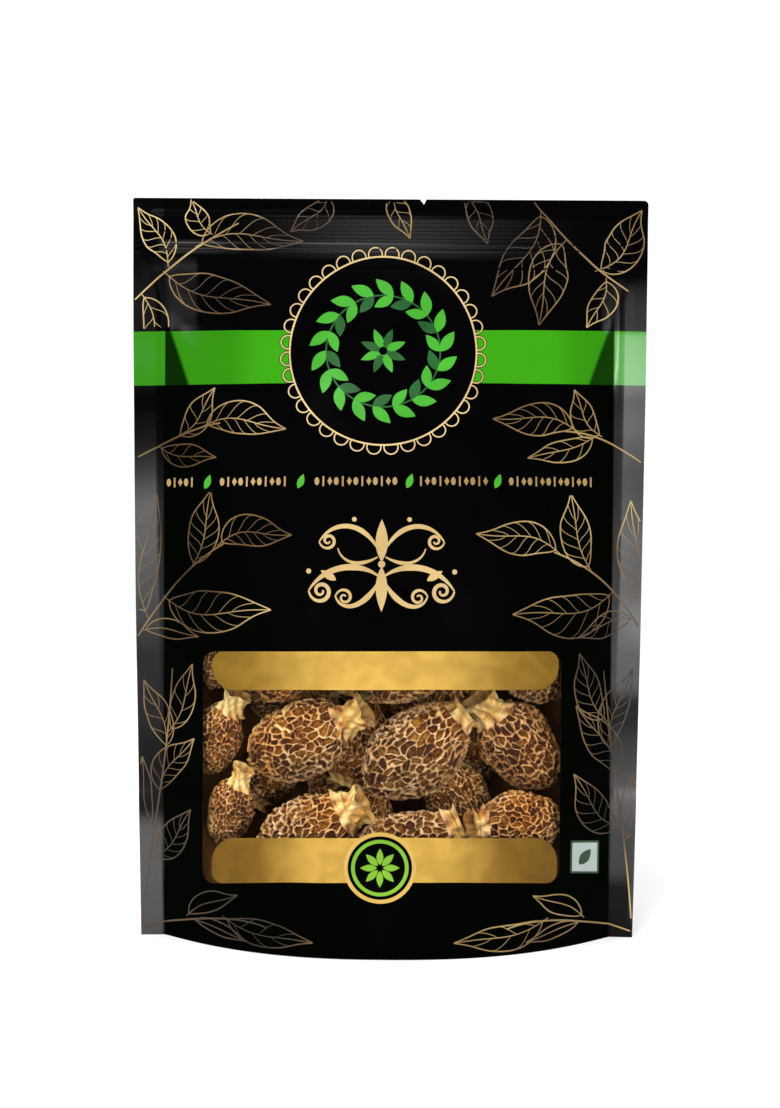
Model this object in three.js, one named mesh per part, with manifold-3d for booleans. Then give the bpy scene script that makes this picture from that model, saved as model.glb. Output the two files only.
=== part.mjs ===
// A filled stand-up pouch: two printed film panels sealed at the sides and the header, a bottom gusset
// folded up between them, a two-strip press zip, a clear window pane, and dried morel mushrooms inside.
// Millimetres. +X right, +Y to the back, +Z up. Origin: under the middle of the base the pouch stands on.
import * as THREE from "three";
import { mergeVertices } from "three/addons/utils/BufferGeometryUtils.js";
import Module from "manifold-3d";

const wasm = await Module();
wasm.setup();

// Pouch sizes: a stock 160 x 230 mm bag with a bottom gusset.
const WIDTH = 160;
const HEIGHT = 230;
const BASE_WIDTH = 154; // across the side seals at the floor, where the bulge has drawn them in
const TAPER_FROM = 190; // height above which the bag keeps its flat width
const FILM = 0.6; // film thickness
const GAP = 0.3; // clearance between pieces that touch
const SEAL_SHARE = 0.109; // width of a side seal, as a share of half the bag's width
const BULGE_BASE = 23; // how far each panel stands out at the floor
const BULGE_BODY = 25; // and where the contents fill it
const BULGE_TOP_Z = 96; // the fill line, above which the panels close towards the zip
const BULGE_SHAPE = 2.4; // 2 is a plain arc across the bag, more is flatter in the middle

// The bottom gusset: an arch in side view, tall at the seals and low in the middle.
const GUSSET_SEAL_Z = 42;
const GUSSET_MID_Z = 21;
const GUSSET_HALF = 0.45; // half the distance between its two leaves in the side seals
const GUSSET_PINCH = 1.8; // 1 is a round arch, more draws its legs in faster

// The press zip and the header seal above it.
const ZIP_LOW = 213;
const ZIP_HIGH = 224;
const ZIP_FLANGE = 0.5;
const ZIP_BEAD = 1.5; // height of the ribs that lock together
const ZIP_BEAD_Z = 215.2; // where they are
const ZIP_HALF = 1.4; // half the space that the zip takes between the panels
const ZIP_REACH = 5; // height over which the panels close on each side of it

// The window in the front panel, and how far the pane laps behind its edge.
const WINDOW = { left: -56.5, right: 52.5, low: 23.2, high: 91.9, corner: 4 };
// The picture on the bag is level when it is seen from in front, at this height. On the bulging film its
// lines are therefore highest in the middle, by this share of the distance below the eye, and a little tilted.
const LEVEL = { eye: 130, share: 0.063, tilt: 0.006, half: 69.5 };
const NICK = { x: 10.3, wide: 1.6, deep: 1.6 }; // tear nick in the top edge

// Grid lines of the panels: across as shares of half the width, and up in millimetres.
const ACROSS = [-1, -0.891, -0.8, -0.68, -0.56, -0.44, -0.32, -0.16, 0, 0.16, 0.32, 0.44, 0.56, 0.68, 0.8, 0.891, 1];
const UP = [0, 5, 14, 28, 42, 50, 66, 80, 95, 108, 124, 140, 158, 176, 192, 204, 211, 213, 224, 227, HEIGHT];
const PANE_FILM = 0.4;
const PANE_ACROSS = [2, 14]; // first and last of ACROSS that the pane reaches
const PANE_UP = [2, 8]; // and of UP
const ARCH_STEPS = 12;
const CORNER_STEPS = 4;
const EDGE_STEPS = 8;

const smooth = (a, b, t) => {
  const s = Math.min(Math.max((t - a) / (b - a), 0), 1);
  return s * s * (3 - 2 * s);
};

function halfWidth(z) {
  const below = Math.max(0, 1 - z / TAPER_FROM);
  return (WIDTH - (WIDTH - BASE_WIDTH) * below ** 1.5) / 2;
}

// How far the middle of a panel stands out at a height.
function bulgeAt(z) {
  if (z >= ZIP_LOW) return 0;
  if (z <= BULGE_TOP_Z) return BULGE_BASE + (BULGE_BODY - BULGE_BASE) * smooth(0, 60, z);
  const t = (z - BULGE_TOP_Z) / (ZIP_LOW - BULGE_TOP_Z);
  return (BULGE_BODY * (1 + Math.cos(Math.PI * t))) / 2;
}

// Distance of a panel's inner face from the middle plane, at share u of the half width and height z.
function innerFace(u, z) {
  const side = Math.min(Math.abs(u) / (1 - SEAL_SHARE), 1);
  const gussetRoom = (2 * GUSSET_HALF) * (1 - smooth(GUSSET_SEAL_Z, GUSSET_SEAL_Z + 8, z));
  const zipRoom = (ZIP_HALF - GAP / 2)
    * smooth(ZIP_LOW - ZIP_REACH, ZIP_LOW, z) * (1 - smooth(ZIP_HIGH, ZIP_HIGH + 3, z))
    * (1 - smooth(0.9, 1, side) * (Math.abs(u) > 1 - SEAL_SHARE ? 1 : 0));
  return GAP / 2 + gussetRoom + Math.max(zipRoom, bulgeAt(z) * (1 - side ** BULGE_SHAPE));
}

function panelPoint(u, z, depth, side) {
  return [u * halfWidth(z), side * depth, z];
}

// A closed sheet between two grids of points with the same rows and columns.
function sheetGeometry(near, far) {
  const rows = near.length;
  const cols = near[0].length;
  const points = [...near.flat(), ...far.flat()];
  const at = (layer, i, j) => layer * rows * cols + i * cols + j;
  const tris = [];
  const quad = (a, b, c, d) => tris.push([a, b, c], [a, c, d]);
  for (let i = 0; i < rows - 1; i++)
    for (let j = 0; j < cols - 1; j++) {
      quad(at(0, i, j), at(0, i, j + 1), at(0, i + 1, j + 1), at(0, i + 1, j));
      quad(at(1, i, j), at(1, i + 1, j), at(1, i + 1, j + 1), at(1, i, j + 1));
    }
  for (let j = 0; j < cols - 1; j++) {
    quad(at(0, 0, j + 1), at(0, 0, j), at(1, 0, j), at(1, 0, j + 1));
    quad(at(0, rows - 1, j), at(0, rows - 1, j + 1), at(1, rows - 1, j + 1), at(1, rows - 1, j));
  }
  for (let i = 0; i < rows - 1; i++) {
    quad(at(0, i, 0), at(0, i + 1, 0), at(1, i + 1, 0), at(1, i, 0));
    quad(at(0, i + 1, cols - 1), at(0, i, cols - 1), at(1, i, cols - 1), at(1, i + 1, cols - 1));
  }
  return closedGeometry(points, tris);
}

// Builds a geometry from points and triangles, turned so that its faces point out.
function closedGeometry(points, tris) {
  let volume = 0;
  for (const [a, b, c] of tris) {
    const [p, q, r] = [points[a], points[b], points[c]];
    volume += p[0] * (q[1] * r[2] - q[2] * r[1]) - p[1] * (q[0] * r[2] - q[2] * r[0])
      + p[2] * (q[0] * r[1] - q[1] * r[0]);
  }
  const geometry = new THREE.BufferGeometry();
  geometry.setAttribute("position", new THREE.Float32BufferAttribute(points.flat(), 3));
  geometry.setIndex(tris.flatMap(([a, b, c]) => (volume < 0 ? [a, c, b] : [a, b, c])));
  return geometry;
}

function toSolid(geometry) {
  const bare = new THREE.BufferGeometry().setAttribute("position", geometry.getAttribute("position"));
  bare.setIndex(geometry.index);
  const merged = mergeVertices(bare, 1e-4);
  return new wasm.Manifold(new wasm.Mesh({
    numProp: 3,
    vertProperties: merged.attributes.position.array,
    triVerts: new Uint32Array(merged.index.array),
  }));
}

function fromSolid(solid) {
  const mesh = solid.getMesh();
  const geometry = new THREE.BufferGeometry();
  geometry.setAttribute("position", new THREE.BufferAttribute(new Float32Array(mesh.vertProperties), 3));
  geometry.setIndex(new THREE.BufferAttribute(new Uint32Array(mesh.triVerts), 1));
  return geometry;
}

// One printed panel, front (side -1) or back (side 1).
function panelGeometry(side) {
  const layer = (extra) => UP.map((z) => ACROSS.map((u) => panelPoint(u, z, innerFace(u, z) + extra, side)));
  return sheetGeometry(layer(0), layer(FILM));
}

// A prism along Y through everything, from an outline in the XZ plane.
function cutter(shape) {
  const long = 2 * BULGE_BODY + 20;
  const prism = new THREE.ExtrudeGeometry(shape, { depth: long, bevelEnabled: false });
  prism.rotateX(Math.PI / 2);
  prism.translate(0, long / 2, 0);
  return prism;
}

// Where a point of the level picture comes on the film.
function levelled(x, z) {
  const side = (Math.abs(x) / LEVEL.half) ** BULGE_SHAPE;
  return new THREE.Vector2(x, z + LEVEL.tilt * x - LEVEL.share * (LEVEL.eye - z) * side);
}

function windowOutline() {
  const { left, right, low, high, corner } = WINDOW;
  const points = [];
  const arc = (x, z, start) => {
    for (let k = 0; k <= CORNER_STEPS; k++) {
      const angle = start + (k * Math.PI) / 2 / CORNER_STEPS;
      points.push(levelled(x + corner * Math.cos(angle), z + corner * Math.sin(angle)));
    }
  };
  const edge = (from, to, z) => {
    for (let k = 1; k < EDGE_STEPS; k++) points.push(levelled(from + ((to - from) * k) / EDGE_STEPS, z));
  };
  arc(left + corner, low + corner, Math.PI);
  edge(left + corner, right - corner, low);
  arc(right - corner, low + corner, 1.5 * Math.PI);
  arc(right - corner, high - corner, 0);
  edge(right - corner, left + corner, high);
  arc(left + corner, high - corner, Math.PI / 2);
  return new THREE.Shape(points);
}

function nickOutline() {
  const shape = new THREE.Shape();
  shape.moveTo(NICK.x, HEIGHT - NICK.deep);
  shape.lineTo(NICK.x + NICK.wide / 2, HEIGHT + 1);
  shape.lineTo(NICK.x - 2 * NICK.wide, HEIGHT + 1);
  return shape;
}

function frontPanel() {
  const cut = toSolid(panelGeometry(-1))
    .subtract(toSolid(cutter(windowOutline())))
    .subtract(toSolid(cutter(nickOutline())));
  return fromSolid(cut);
}

function backPanel() {
  return fromSolid(toSolid(panelGeometry(1)).subtract(toSolid(cutter(nickOutline()))));
}

// The clear pane lies against the inside of the front panel, behind the window.
function windowPane() {
  const columns = ACROSS.slice(PANE_ACROSS[0], PANE_ACROSS[1] + 1);
  const rows = UP.slice(PANE_UP[0], PANE_UP[1] + 1);
  const layer = (inset) => rows.map((z) => columns.map((u) => panelPoint(u, z, innerFace(u, z) - inset, -1)));
  return sheetGeometry(layer(GAP + PANE_FILM), layer(GAP));
}

// The gusset: from the front panel's foot, up over an arch, and down to the back panel's foot.
function gusset() {
  const halves = ACROSS.map((u) => innerFace(u, 0) - GAP - FILM / 2);
  const seal = 1 - SEAL_SHARE;
  const tops = ACROSS.map((u) => {
    const s = Math.min(Math.abs(u) / seal, 1);
    return GUSSET_MID_Z + (GUSSET_SEAL_Z - GUSSET_MID_Z) * s * s;
  });
  const layer = (offset) => ACROSS.map((u, i) => Array.from({ length: ARCH_STEPS + 1 }, (_, k) => {
    const angle = (Math.PI * k) / ARCH_STEPS;
    const z = k === ARCH_STEPS ? 0 : (tops[i] + offset) * Math.sin(angle);
    const reach = Math.abs(Math.cos(angle)) ** (Math.abs(u) < seal ? GUSSET_PINCH : 1);
    return [u * halfWidth(z), -Math.sign(Math.cos(angle)) * (halves[i] + offset) * reach, z];
  }));
  return sheetGeometry(layer(-FILM / 2), layer(FILM / 2));
}

// One zip strip: a flange against its panel and a rib that locks beside the other strip's rib.
function zipStrip(side, ribShift) {
  const back = ZIP_HALF - GAP;
  const flange = back - ZIP_FLANGE;
  const half = (WIDTH / 2) * (1 - SEAL_SHARE) - 1;
  const rib = ZIP_BEAD_Z + ribShift;
  const shape = new THREE.Shape([
    [back, ZIP_LOW + 0.5], [back, ZIP_HIGH - 0.5], [flange, ZIP_HIGH - 0.5], [flange, rib + ZIP_BEAD / 2],
    [-flange + GAP, rib + ZIP_BEAD / 2], [-flange + GAP, rib - ZIP_BEAD / 2], [flange, rib - ZIP_BEAD / 2],
    [flange, ZIP_LOW + 0.5],
  ].map(([y, z]) => new THREE.Vector2(side * y, z)));
  const strip = new THREE.ExtrudeGeometry(shape, { depth: 2 * half, bevelEnabled: false });
  // Outline x, y and depth become Y, Z and X.
  strip.applyMatrix4(new THREE.Matrix4().set(0, 0, 1, -half, 1, 0, 0, 0, 0, 1, 0, 0, 0, 0, 0, 1));
  return strip;
}

// Dried morels: sizes of one at scale 1.
const CAP_LONG = 31;
const CAP_HALF = 11.5; // half its greatest width
const CAP_FLAT = 0.72; // depth over width: drying flattens it
const STEM_LONG = 12;
const STEM_HALF = 4.6;
const PIT_DEEP = 2.1;

// The front layer lies against the pane, the middle one fills its gaps, and the rear one lies against the
// back panel. Each morel has its cap's middle (x, z), the way its tip points (lean, degrees from up towards
// +X), how far it is lifted off the panel, its scale, and its stem's length as a share of a full one.
const FRONT_LAYER = [
  { x: -27.6, z: 33.1, lean: -121, lift: 0.1, scale: 1.04, stem: 0.6 },
  { x: 5.1, z: 28.8, lean: -113, lift: 0, scale: 1.09, stem: 0.33 },
  { x: 44.7, z: 36.8, lean: 93, lift: 0, scale: 0.92, stem: 0.39 },
  { x: -30, z: 63.1, lean: -114, lift: 0, scale: 1.06, stem: 0.67 },
  { x: 8.5, z: 60, lean: -128, lift: 0.4, scale: 1.14, stem: 0.3 },
  { x: 47.1, z: 60.2, lean: 133, lift: 2.2, scale: 1.03, stem: 0.67 },
  { x: -31.9, z: 89.5, lean: -145, lift: 1.1, scale: 1.06, stem: 0.64 },
  { x: 7.4, z: 88.6, lean: -136, lift: 0, scale: 1.08, stem: 0.4 },
  { x: 47.7, z: 87.6, lean: 133, lift: 0.1, scale: 1.01, stem: 0.47 },
];
const MIDDLE_LAYER = [
  { x: -8.3, z: 35.4, lean: 20, lift: 14.7, scale: 0.77, stem: 0.31 },
  { x: 28, z: 44.5, lean: 154, lift: 15.2, scale: 0.86, stem: 0.4 },
  { x: -52.4, z: 39.6, lean: -154, lift: 0, scale: 0.68, stem: 0.75 },
  { x: -11.1, z: 61.8, lean: 17, lift: 17.1, scale: 0.84, stem: 0.3 },
  { x: 25.8, z: 70.7, lean: 157, lift: 16.2, scale: 0.83, stem: 0.43 },
  { x: -57.5, z: 61.8, lean: -146, lift: 0, scale: 0.75, stem: 0.76 },
  { x: -10.9, z: 90.6, lean: 15, lift: 14.9, scale: 0.82, stem: 0.31 },
  { x: 28.2, z: 95, lean: 153, lift: 14.3, scale: 0.78, stem: 0.33 },
  { x: -55.8, z: 88.7, lean: -155, lift: 0, scale: 0.73, stem: 0.9 },
];
const REAR_LAYER = [
  { x: -39, z: 50, lean: 35, lift: 0, scale: 0.72, stem: 0.4 },
  { x: -17.4, z: 48, lean: -5, lift: 0.7, scale: 0.86, stem: 0.38 },
  { x: 29, z: 57, lean: 12, lift: 0, scale: 0.88, stem: 0.4 },
  { x: -20, z: 77, lean: 15, lift: 0, scale: 0.84, stem: 0.4 },
  { x: -41, z: 76, lean: -30, lift: 0, scale: 0.7, stem: 0.4 },
  { x: 9, z: 74, lean: 80, lift: 0, scale: 0.85, stem: 0.5 },
];
const FRONT_NET = { around: 12, rows: 7 };
const INNER_NET = { around: 9, rows: 5 };

// A repeatable draw between -1 and 1 from whole numbers.
function draw(...keys) {
  const mixed = keys.reduce((sum, key, i) => sum + key * (12.9898 + 65.233 * i), 0);
  const wild = Math.sin(mixed) * 43758.5453;
  return 2 * (wild - Math.floor(wild)) - 1;
}

// Half width of the cap, from its lower rim (v = 0) to its tip (v = 1).
function capHalf(v) {
  const wide = 0.36;
  if (v < wide) return CAP_HALF * (1 - 0.38 * ((wide - v) / wide) ** 2);
  return CAP_HALF * Math.cos((Math.PI / 2) * ((v - wide) / (1 - wide)) ** 1.7) ** 0.8;
}

// A shrunken morel, its cap covered by a net of ridges round sunken pits, on a hollow cut stem.
function morelGeometry(seed, { around, rows }, stemLong) {
  const points = [];
  const tris = [];
  const ring = 2 * around;
  const add = (p) => points.push(p) - 1;
  const onCap = (angle, v, sink) => {
    const shrunk = 1 + 0.05 * Math.sin(3 * angle + seed) + 0.04 * Math.sin(2 * angle + 7 * v + 2 * seed);
    const r = Math.max(capHalf(v) * shrunk - sink, 0);
    return [r * Math.cos(angle), CAP_FLAT * r * Math.sin(angle), CAP_LONG * v];
  };
  // Zigzag rings: the corners of the pits, row above row.
  const corner = [];
  for (let i = 0; i <= rows; i++)
    for (let k = 0; k < ring; k++) {
      const level = 0.02 + (0.9 * (i + ((k + i) % 2 ? 0.17 : -0.17))) / rows;
      const v = Math.max(level + (i ? (0.13 / rows) * draw(i, k, seed) : 0.02), 0);
      corner.push(add(onCap(((k + 0.25 * draw(k, i, seed + 5)) * Math.PI) / around, v, 0)));
    }
  const at = (i, k) => corner[i * ring + ((k + ring) % ring)];
  for (let i = 0; i < rows; i++)
    for (let k = i % 2; k < ring; k += 2) {
      const rim = [at(i, k - 1), at(i, k), at(i, k + 1), at(i + 1, k + 1), at(i + 1, k), at(i + 1, k - 1)];
      const v = 0.02 + (0.9 * (i + 0.5)) / rows;
      const pit = add(onCap((k * Math.PI) / around, v, Math.min(PIT_DEEP, 0.3 * capHalf(v))));
      rim.forEach((a, n) => tris.push([a, rim[(n + 1) % 6], pit]));
    }
  const tip = add([0, 0, CAP_LONG]);
  for (let k = 0; k < ring; k++) tris.push([at(rows, k), at(rows, k + 1), tip]);
  // Stem: rings down from the cap's underside, the last one turned in to the hollow.
  const sides = around;
  const stemRing = (half, z, flat) => Array.from({ length: sides }, (_, k) => {
    const angle = ((2 * k + 0.5) * Math.PI) / sides;
    const r = half * (1 + 0.14 * Math.sin(2 * angle + seed));
    return add([r * Math.cos(angle), flat * r * Math.sin(angle), z]);
  });
  const rings = [
    stemRing(STEM_HALF * 1.1, -0.6, 0.85),
    stemRing(STEM_HALF * 0.85, -0.5 * stemLong, 0.8),
    stemRing(STEM_HALF * 1.15, -stemLong, 0.75),
    stemRing(STEM_HALF * 0.75, -stemLong, 0.75),
  ];
  for (let k = 0; k < sides; k++) {
    const next = (k + 1) % sides;
    tris.push([at(0, 2 * k + 1), at(0, 2 * k), rings[0][k]]);
    tris.push([at(0, 2 * k + 2), at(0, 2 * k + 1), rings[0][k]]);
    tris.push([at(0, 2 * k + 2), rings[0][k], rings[0][next]]);
    for (let n = 0; n < rings.length - 1; n++) {
      tris.push([rings[n][next], rings[n][k], rings[n + 1][k]]);
      tris.push([rings[n][next], rings[n + 1][k], rings[n + 1][next]]);
    }
  }
  const hollow = add([0, 0, -0.3 * stemLong]);
  for (let k = 0; k < sides; k++) tris.push([rings[3][(k + 1) % sides], rings[3][k], hollow]);
  return closedGeometry(points, tris);
}

const LIE_OFF = 0.8; // free space between a morel and the panel it lies against
const SLOPE_STEP = 0.5; // step for measuring a panel's slope

// Where the inner face of a panel is, and which way it faces out of the bag.
function panelFrame(x, z, side) {
  const depth = (px, pz) => innerFace(px / halfWidth(pz), pz);
  const slopeX = (depth(x + SLOPE_STEP, z) - depth(x - SLOPE_STEP, z)) / (2 * SLOPE_STEP);
  const slopeZ = (depth(x, z + SLOPE_STEP) - depth(x, z - SLOPE_STEP)) / (2 * SLOPE_STEP);
  return {
    point: new THREE.Vector3(x, side * depth(x, z), z),
    out: new THREE.Vector3(-slopeX, side, -slopeZ).normalize(),
  };
}

// Places a morel so that its cap lies flat against the panel on one side of the bag.
function morelMesh(name, seed, net, side, { x, z, lean, lift, scale, stem }, material) {
  const { point, out } = panelFrame(x, z, side);
  const tilt = THREE.MathUtils.degToRad(lean);
  const tip = new THREE.Vector3(Math.sin(tilt), 0, Math.cos(tilt)).projectOnPlane(out).normalize();
  const depth = out.clone().multiplyScalar(side);
  const middle = point.addScaledVector(out, -(PANE_FILM + GAP + LIE_OFF + lift + CAP_HALF * CAP_FLAT * scale));
  const mesh = new THREE.Mesh(morelGeometry(seed, net, STEM_LONG * stem), material);
  mesh.name = name;
  mesh.scale.setScalar(scale);
  mesh.quaternion.setFromRotationMatrix(
    new THREE.Matrix4().makeBasis(new THREE.Vector3().crossVectors(depth, tip), depth, tip),
  );
  mesh.position.copy(middle.addScaledVector(tip, -0.45 * CAP_LONG * scale));
  return mesh;
}

// Materials
const printedFilm = new THREE.MeshStandardMaterial({ color: 0x0b0b0c, roughness: 0.3, metalness: 0 });
const gussetFilm = new THREE.MeshStandardMaterial({ color: 0x101012, roughness: 0.35, metalness: 0 });
const clearFilm = new THREE.MeshStandardMaterial({
  color: 0xf2f4f5, roughness: 0.08, metalness: 0, transparent: true, opacity: 0.25,
});
const zipPlastic = new THREE.MeshStandardMaterial({ color: 0xd9dcdd, roughness: 0.4, metalness: 0 });
const driedMorel = new THREE.MeshStandardMaterial({ color: 0x8a6238, roughness: 0.85, metalness: 0 });

function mesh(name, geometry, material) {
  const made = new THREE.Mesh(geometry, material);
  made.name = name;
  return made;
}

const pouch = new THREE.Group();
pouch.add(mesh("front_panel", frontPanel(), printedFilm));
pouch.add(mesh("back_panel", backPanel(), printedFilm));
pouch.add(mesh("bottom_gusset", gusset(), gussetFilm));
pouch.add(mesh("window_pane", windowPane(), clearFilm));
pouch.add(mesh("zip_strip_front", zipStrip(-1, 0), zipPlastic));
pouch.add(mesh("zip_strip_back", zipStrip(1, ZIP_BEAD + 2 * GAP), zipPlastic));

const contents = new THREE.Group();
FRONT_LAYER.forEach((place, i) => {
  contents.add(morelMesh(`morel_front_${i + 1}`, i + 1, FRONT_NET, -1, place, driedMorel));
});
MIDDLE_LAYER.forEach((place, i) => {
  contents.add(morelMesh(`morel_middle_${i + 1}`, i + 11, INNER_NET, -1, place, driedMorel));
});
REAR_LAYER.forEach((place, i) => {
  contents.add(morelMesh(`morel_rear_${i + 1}`, i + 21, INNER_NET, 1, place, driedMorel));
});
pouch.add(contents);

export default pouch;
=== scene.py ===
"""A filled stand-up pouch of black laminate film with gold and green print, and dried morel mushrooms
behind its clear window, on a pale floor in soft light.

Shapes are worked out in millimetres and turned to metres when a mesh is made. +X is right, +Y back, +Z up.
Print is placed by (x, z) on the front and lies on the film, which is a height field along Y.
"""
import math

import bpy
import numpy as np
from mathutils import Matrix, Vector
from mathutils.geometry import delaunay_2d_cdt


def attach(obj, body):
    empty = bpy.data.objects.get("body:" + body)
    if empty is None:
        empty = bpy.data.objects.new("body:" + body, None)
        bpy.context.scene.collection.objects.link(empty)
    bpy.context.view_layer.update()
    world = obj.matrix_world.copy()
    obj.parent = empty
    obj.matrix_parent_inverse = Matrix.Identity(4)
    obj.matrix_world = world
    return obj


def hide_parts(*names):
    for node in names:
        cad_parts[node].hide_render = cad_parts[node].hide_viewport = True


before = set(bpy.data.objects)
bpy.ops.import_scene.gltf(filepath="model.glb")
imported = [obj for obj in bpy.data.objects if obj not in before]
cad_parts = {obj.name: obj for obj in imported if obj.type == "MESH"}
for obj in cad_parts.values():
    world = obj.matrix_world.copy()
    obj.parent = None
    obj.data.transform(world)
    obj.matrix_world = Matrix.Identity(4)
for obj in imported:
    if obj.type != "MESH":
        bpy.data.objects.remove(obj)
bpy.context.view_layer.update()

MM = 0.001
ROOT = "root"
FRONT, BACK = -1, 1

# Shape of the bag, as the solids have it

WIDTH, HEIGHT, BASE_WIDTH, TAPER_FROM = 160.0, 230.0, 154.0, 190.0
FILM, GAP, SEAL_SHARE = 0.6, 0.3, 0.109
SEAL_FROM = 1 - SEAL_SHARE
BULGE_BASE, BULGE_BODY, BULGE_TOP_Z, BULGE_SHAPE = 23.0, 25.0, 96.0, 2.4
GUSSET_SEAL_Z, GUSSET_MID_Z, GUSSET_HALF, GUSSET_PINCH = 42.0, 21.0, 0.45, 1.8
ZIP_LOW, ZIP_HIGH, ZIP_HALF, ZIP_REACH = 213.0, 224.0, 1.4, 5.0
WINDOW = {"left": -56.5, "right": 52.5, "low": 23.2, "high": 91.9, "corner": 4.0}
# The picture is level when it is seen from in front at this height, so on the bulge it rises in the middle.
LEVEL = {"eye": 130.0, "share": 0.063, "tilt": 0.006, "half": 69.5}
NICK = {"x": 10.3, "left": 1.3, "right": 0.8, "deep": 1.6}
CORNER_LEFT, CORNER_RIGHT = 0.6, 1.4
PANE_FILM, PANE_FACES, PANE_INSET = 0.4, (0.02, 0.27), 0.04
CAP_LONG, CAP_HALF, CAP_FLAT = 31.0, 11.5, 0.72
STEM_LONG = 12.0
LIE_OFF, SLOPE_STEP = 0.8, 0.5

# Morels: cap middle x and z, lean of the tip from up towards +X, lift off the panel, scale, stem share.
FRONT_LAYER = [
    (-27.6, 33.1, -121, 0.1, 1.04, 0.6),
    (5.1, 28.8, -113, 0, 1.09, 0.33),
    (44.7, 36.8, 93, 0, 0.92, 0.39),
    (-30, 63.1, -114, 0, 1.06, 0.67),
    (8.5, 60, -128, 0.4, 1.14, 0.3),
    (47.1, 60.2, 133, 2.2, 1.03, 0.67),
    (-31.9, 89.5, -145, 1.1, 1.06, 0.64),
    (7.4, 88.6, -136, 0, 1.08, 0.4),
    (47.7, 87.6, 133, 0.1, 1.01, 0.47),
]
MIDDLE_LAYER = [
    (-8.3, 35.4, 20, 14.7, 0.77, 0.31),
    (28, 44.5, 154, 15.2, 0.86, 0.4),
    (-52.4, 39.6, -154, 0, 0.68, 0.75),
    (-11.1, 61.8, 17, 17.1, 0.84, 0.3),
    (25.8, 70.7, 157, 16.2, 0.83, 0.43),
    (-57.5, 61.8, -146, 0, 0.75, 0.76),
    (-10.9, 90.6, 15, 14.9, 0.82, 0.31),
    (28.2, 95, 153, 14.3, 0.78, 0.33),
    (-55.8, 88.7, -155, 0, 0.73, 0.9),
]
REAR_LAYER = [
    (-39, 50, 35, 0, 0.72, 0.4),
    (-17.4, 48, -5, 0.7, 0.86, 0.38),
    (29, 57, 12, 0, 0.88, 0.4),
    (-20, 77, 15, 0, 0.84, 0.4),
    (-41, 76, -30, 0, 0.7, 0.4),
    (9, 74, 80, 0, 0.85, 0.5),
]

# Shape of the film as it shows

SKIN = 0.3  # thickness of the film
WELD = 0.02  # half the line between the two films where they are sealed
SEAL_FACE = 0.42  # outer face of a sealed band from the middle plane
SEAL_FACE_GUSSET = 0.84  # the same where the gusset's leaves are sealed in
GRID = 1.5  # mesh pitch on the film
ZIP_LINES = [213.8, 215.7, 217.1, 218.3, 219.5, 220.7, 221.9, 223.1]
ZIP_LINE_TALL = [0.24, 0.26, 0.13, 0.13, 0.12, 0.12, 0.1, 0.1]
ZIP_LINE_HALF = 0.34
BAND = (172.4, 189.15)  # the green band
PATCH_SINK, RIBBON_SINK = 0.06, 0.05  # how far the print reaches into the film

# Creases of the front: from (x, z) to (x, z), half width and depth.
CREASES = [
    ((-70.5, 196), (-66, 168), 2.6, 0.75),
    ((-69.5, 192), (-58, 158), 3.4, 0.45),
    ((70.5, 198), (65, 166), 2.8, 0.85),
    ((69.0, 190), (57, 154), 3.6, 0.5),
    ((-66, 206), (-38, 196), 2.6, 0.22),
    ((64, 207), (36, 198), 2.6, 0.2),
    ((-69.5, 150), (-60, 118), 2.8, 0.3),
    ((69.5, 140), (61, 106), 2.8, 0.32),
    ((-69, 44), (-61, 14), 2.4, 0.34),
    ((-62, 8), (-34, 3.5), 2.0, 0.16),
    ((36, 4), (60, 9), 2.0, 0.16),
]
# Slow waves of the film: amplitude, wave length across and up, phase.
WAVES = [(0.16, 47, 61, 0.6), (0.12, 31, -43, 2.1), (0.08, -23, 29, 4.4), (0.05, 17, 19, 1.3)]


def smooth(a, b, t):
    s = np.clip((np.asarray(t, float) - a) / (b - a), 0, 1)
    return s * s * (3 - 2 * s)


def plateau(a, b, c, d, t):
    """Rises from 0 to 1 between a and b, and falls back between c and d."""
    return smooth(a, b, t) * (1 - smooth(c, d, t))


def hill(t, wide):
    return np.exp(-((t / wide) ** 2))


def half_width(z):
    below = np.clip(1 - np.asarray(z, float) / TAPER_FROM, 0, None)
    return (WIDTH - (WIDTH - BASE_WIDTH) * below**1.5) / 2


def bulge_at(z):
    z = np.asarray(z, float)
    t = np.clip((z - BULGE_TOP_Z) / (ZIP_LOW - BULGE_TOP_Z), 0, 1)
    low = BULGE_BASE + (BULGE_BODY - BULGE_BASE) * smooth(0, 60, z)
    return np.where(z <= BULGE_TOP_Z, low, BULGE_BODY * (1 + np.cos(np.pi * t)) / 2)


def inner_face(u, z):
    """The solids' inner face of a panel, from the middle plane."""
    side = np.minimum(np.abs(u) / SEAL_FROM, 1)
    gusset_room = 2 * GUSSET_HALF * (1 - smooth(GUSSET_SEAL_Z, GUSSET_SEAL_Z + 8, z))
    zip_room = (ZIP_HALF - GAP / 2) * plateau(ZIP_LOW - ZIP_REACH, ZIP_LOW, ZIP_HIGH, ZIP_HIGH + 3, z)
    zip_room = zip_room * (1 - smooth(SEAL_FROM, 1.0, np.abs(u)))
    return GAP / 2 + gusset_room + np.maximum(zip_room, bulge_at(z) * (1 - side**BULGE_SHAPE))


def sway(u, z):
    """How far the side seals lean back at their outer edge: they are a little wavy."""
    out = np.clip((np.abs(u) - SEAL_FROM) / SEAL_SHARE, 0, 1)
    left = 0.45 + 0.75 * hill(z - 158, 22) - 0.9 * hill(z, 30) + 0.15 * np.sin(z / 9)
    right = 0.35 + 0.85 * plateau(88, 112, 188, 214, z) - 0.9 * hill(z, 34)
    right = right + 0.12 * np.sin(z / 11 + 1)
    free = 1 - smooth(222, 230, z)
    return out * free * np.where(u < 0, left, right)


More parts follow.
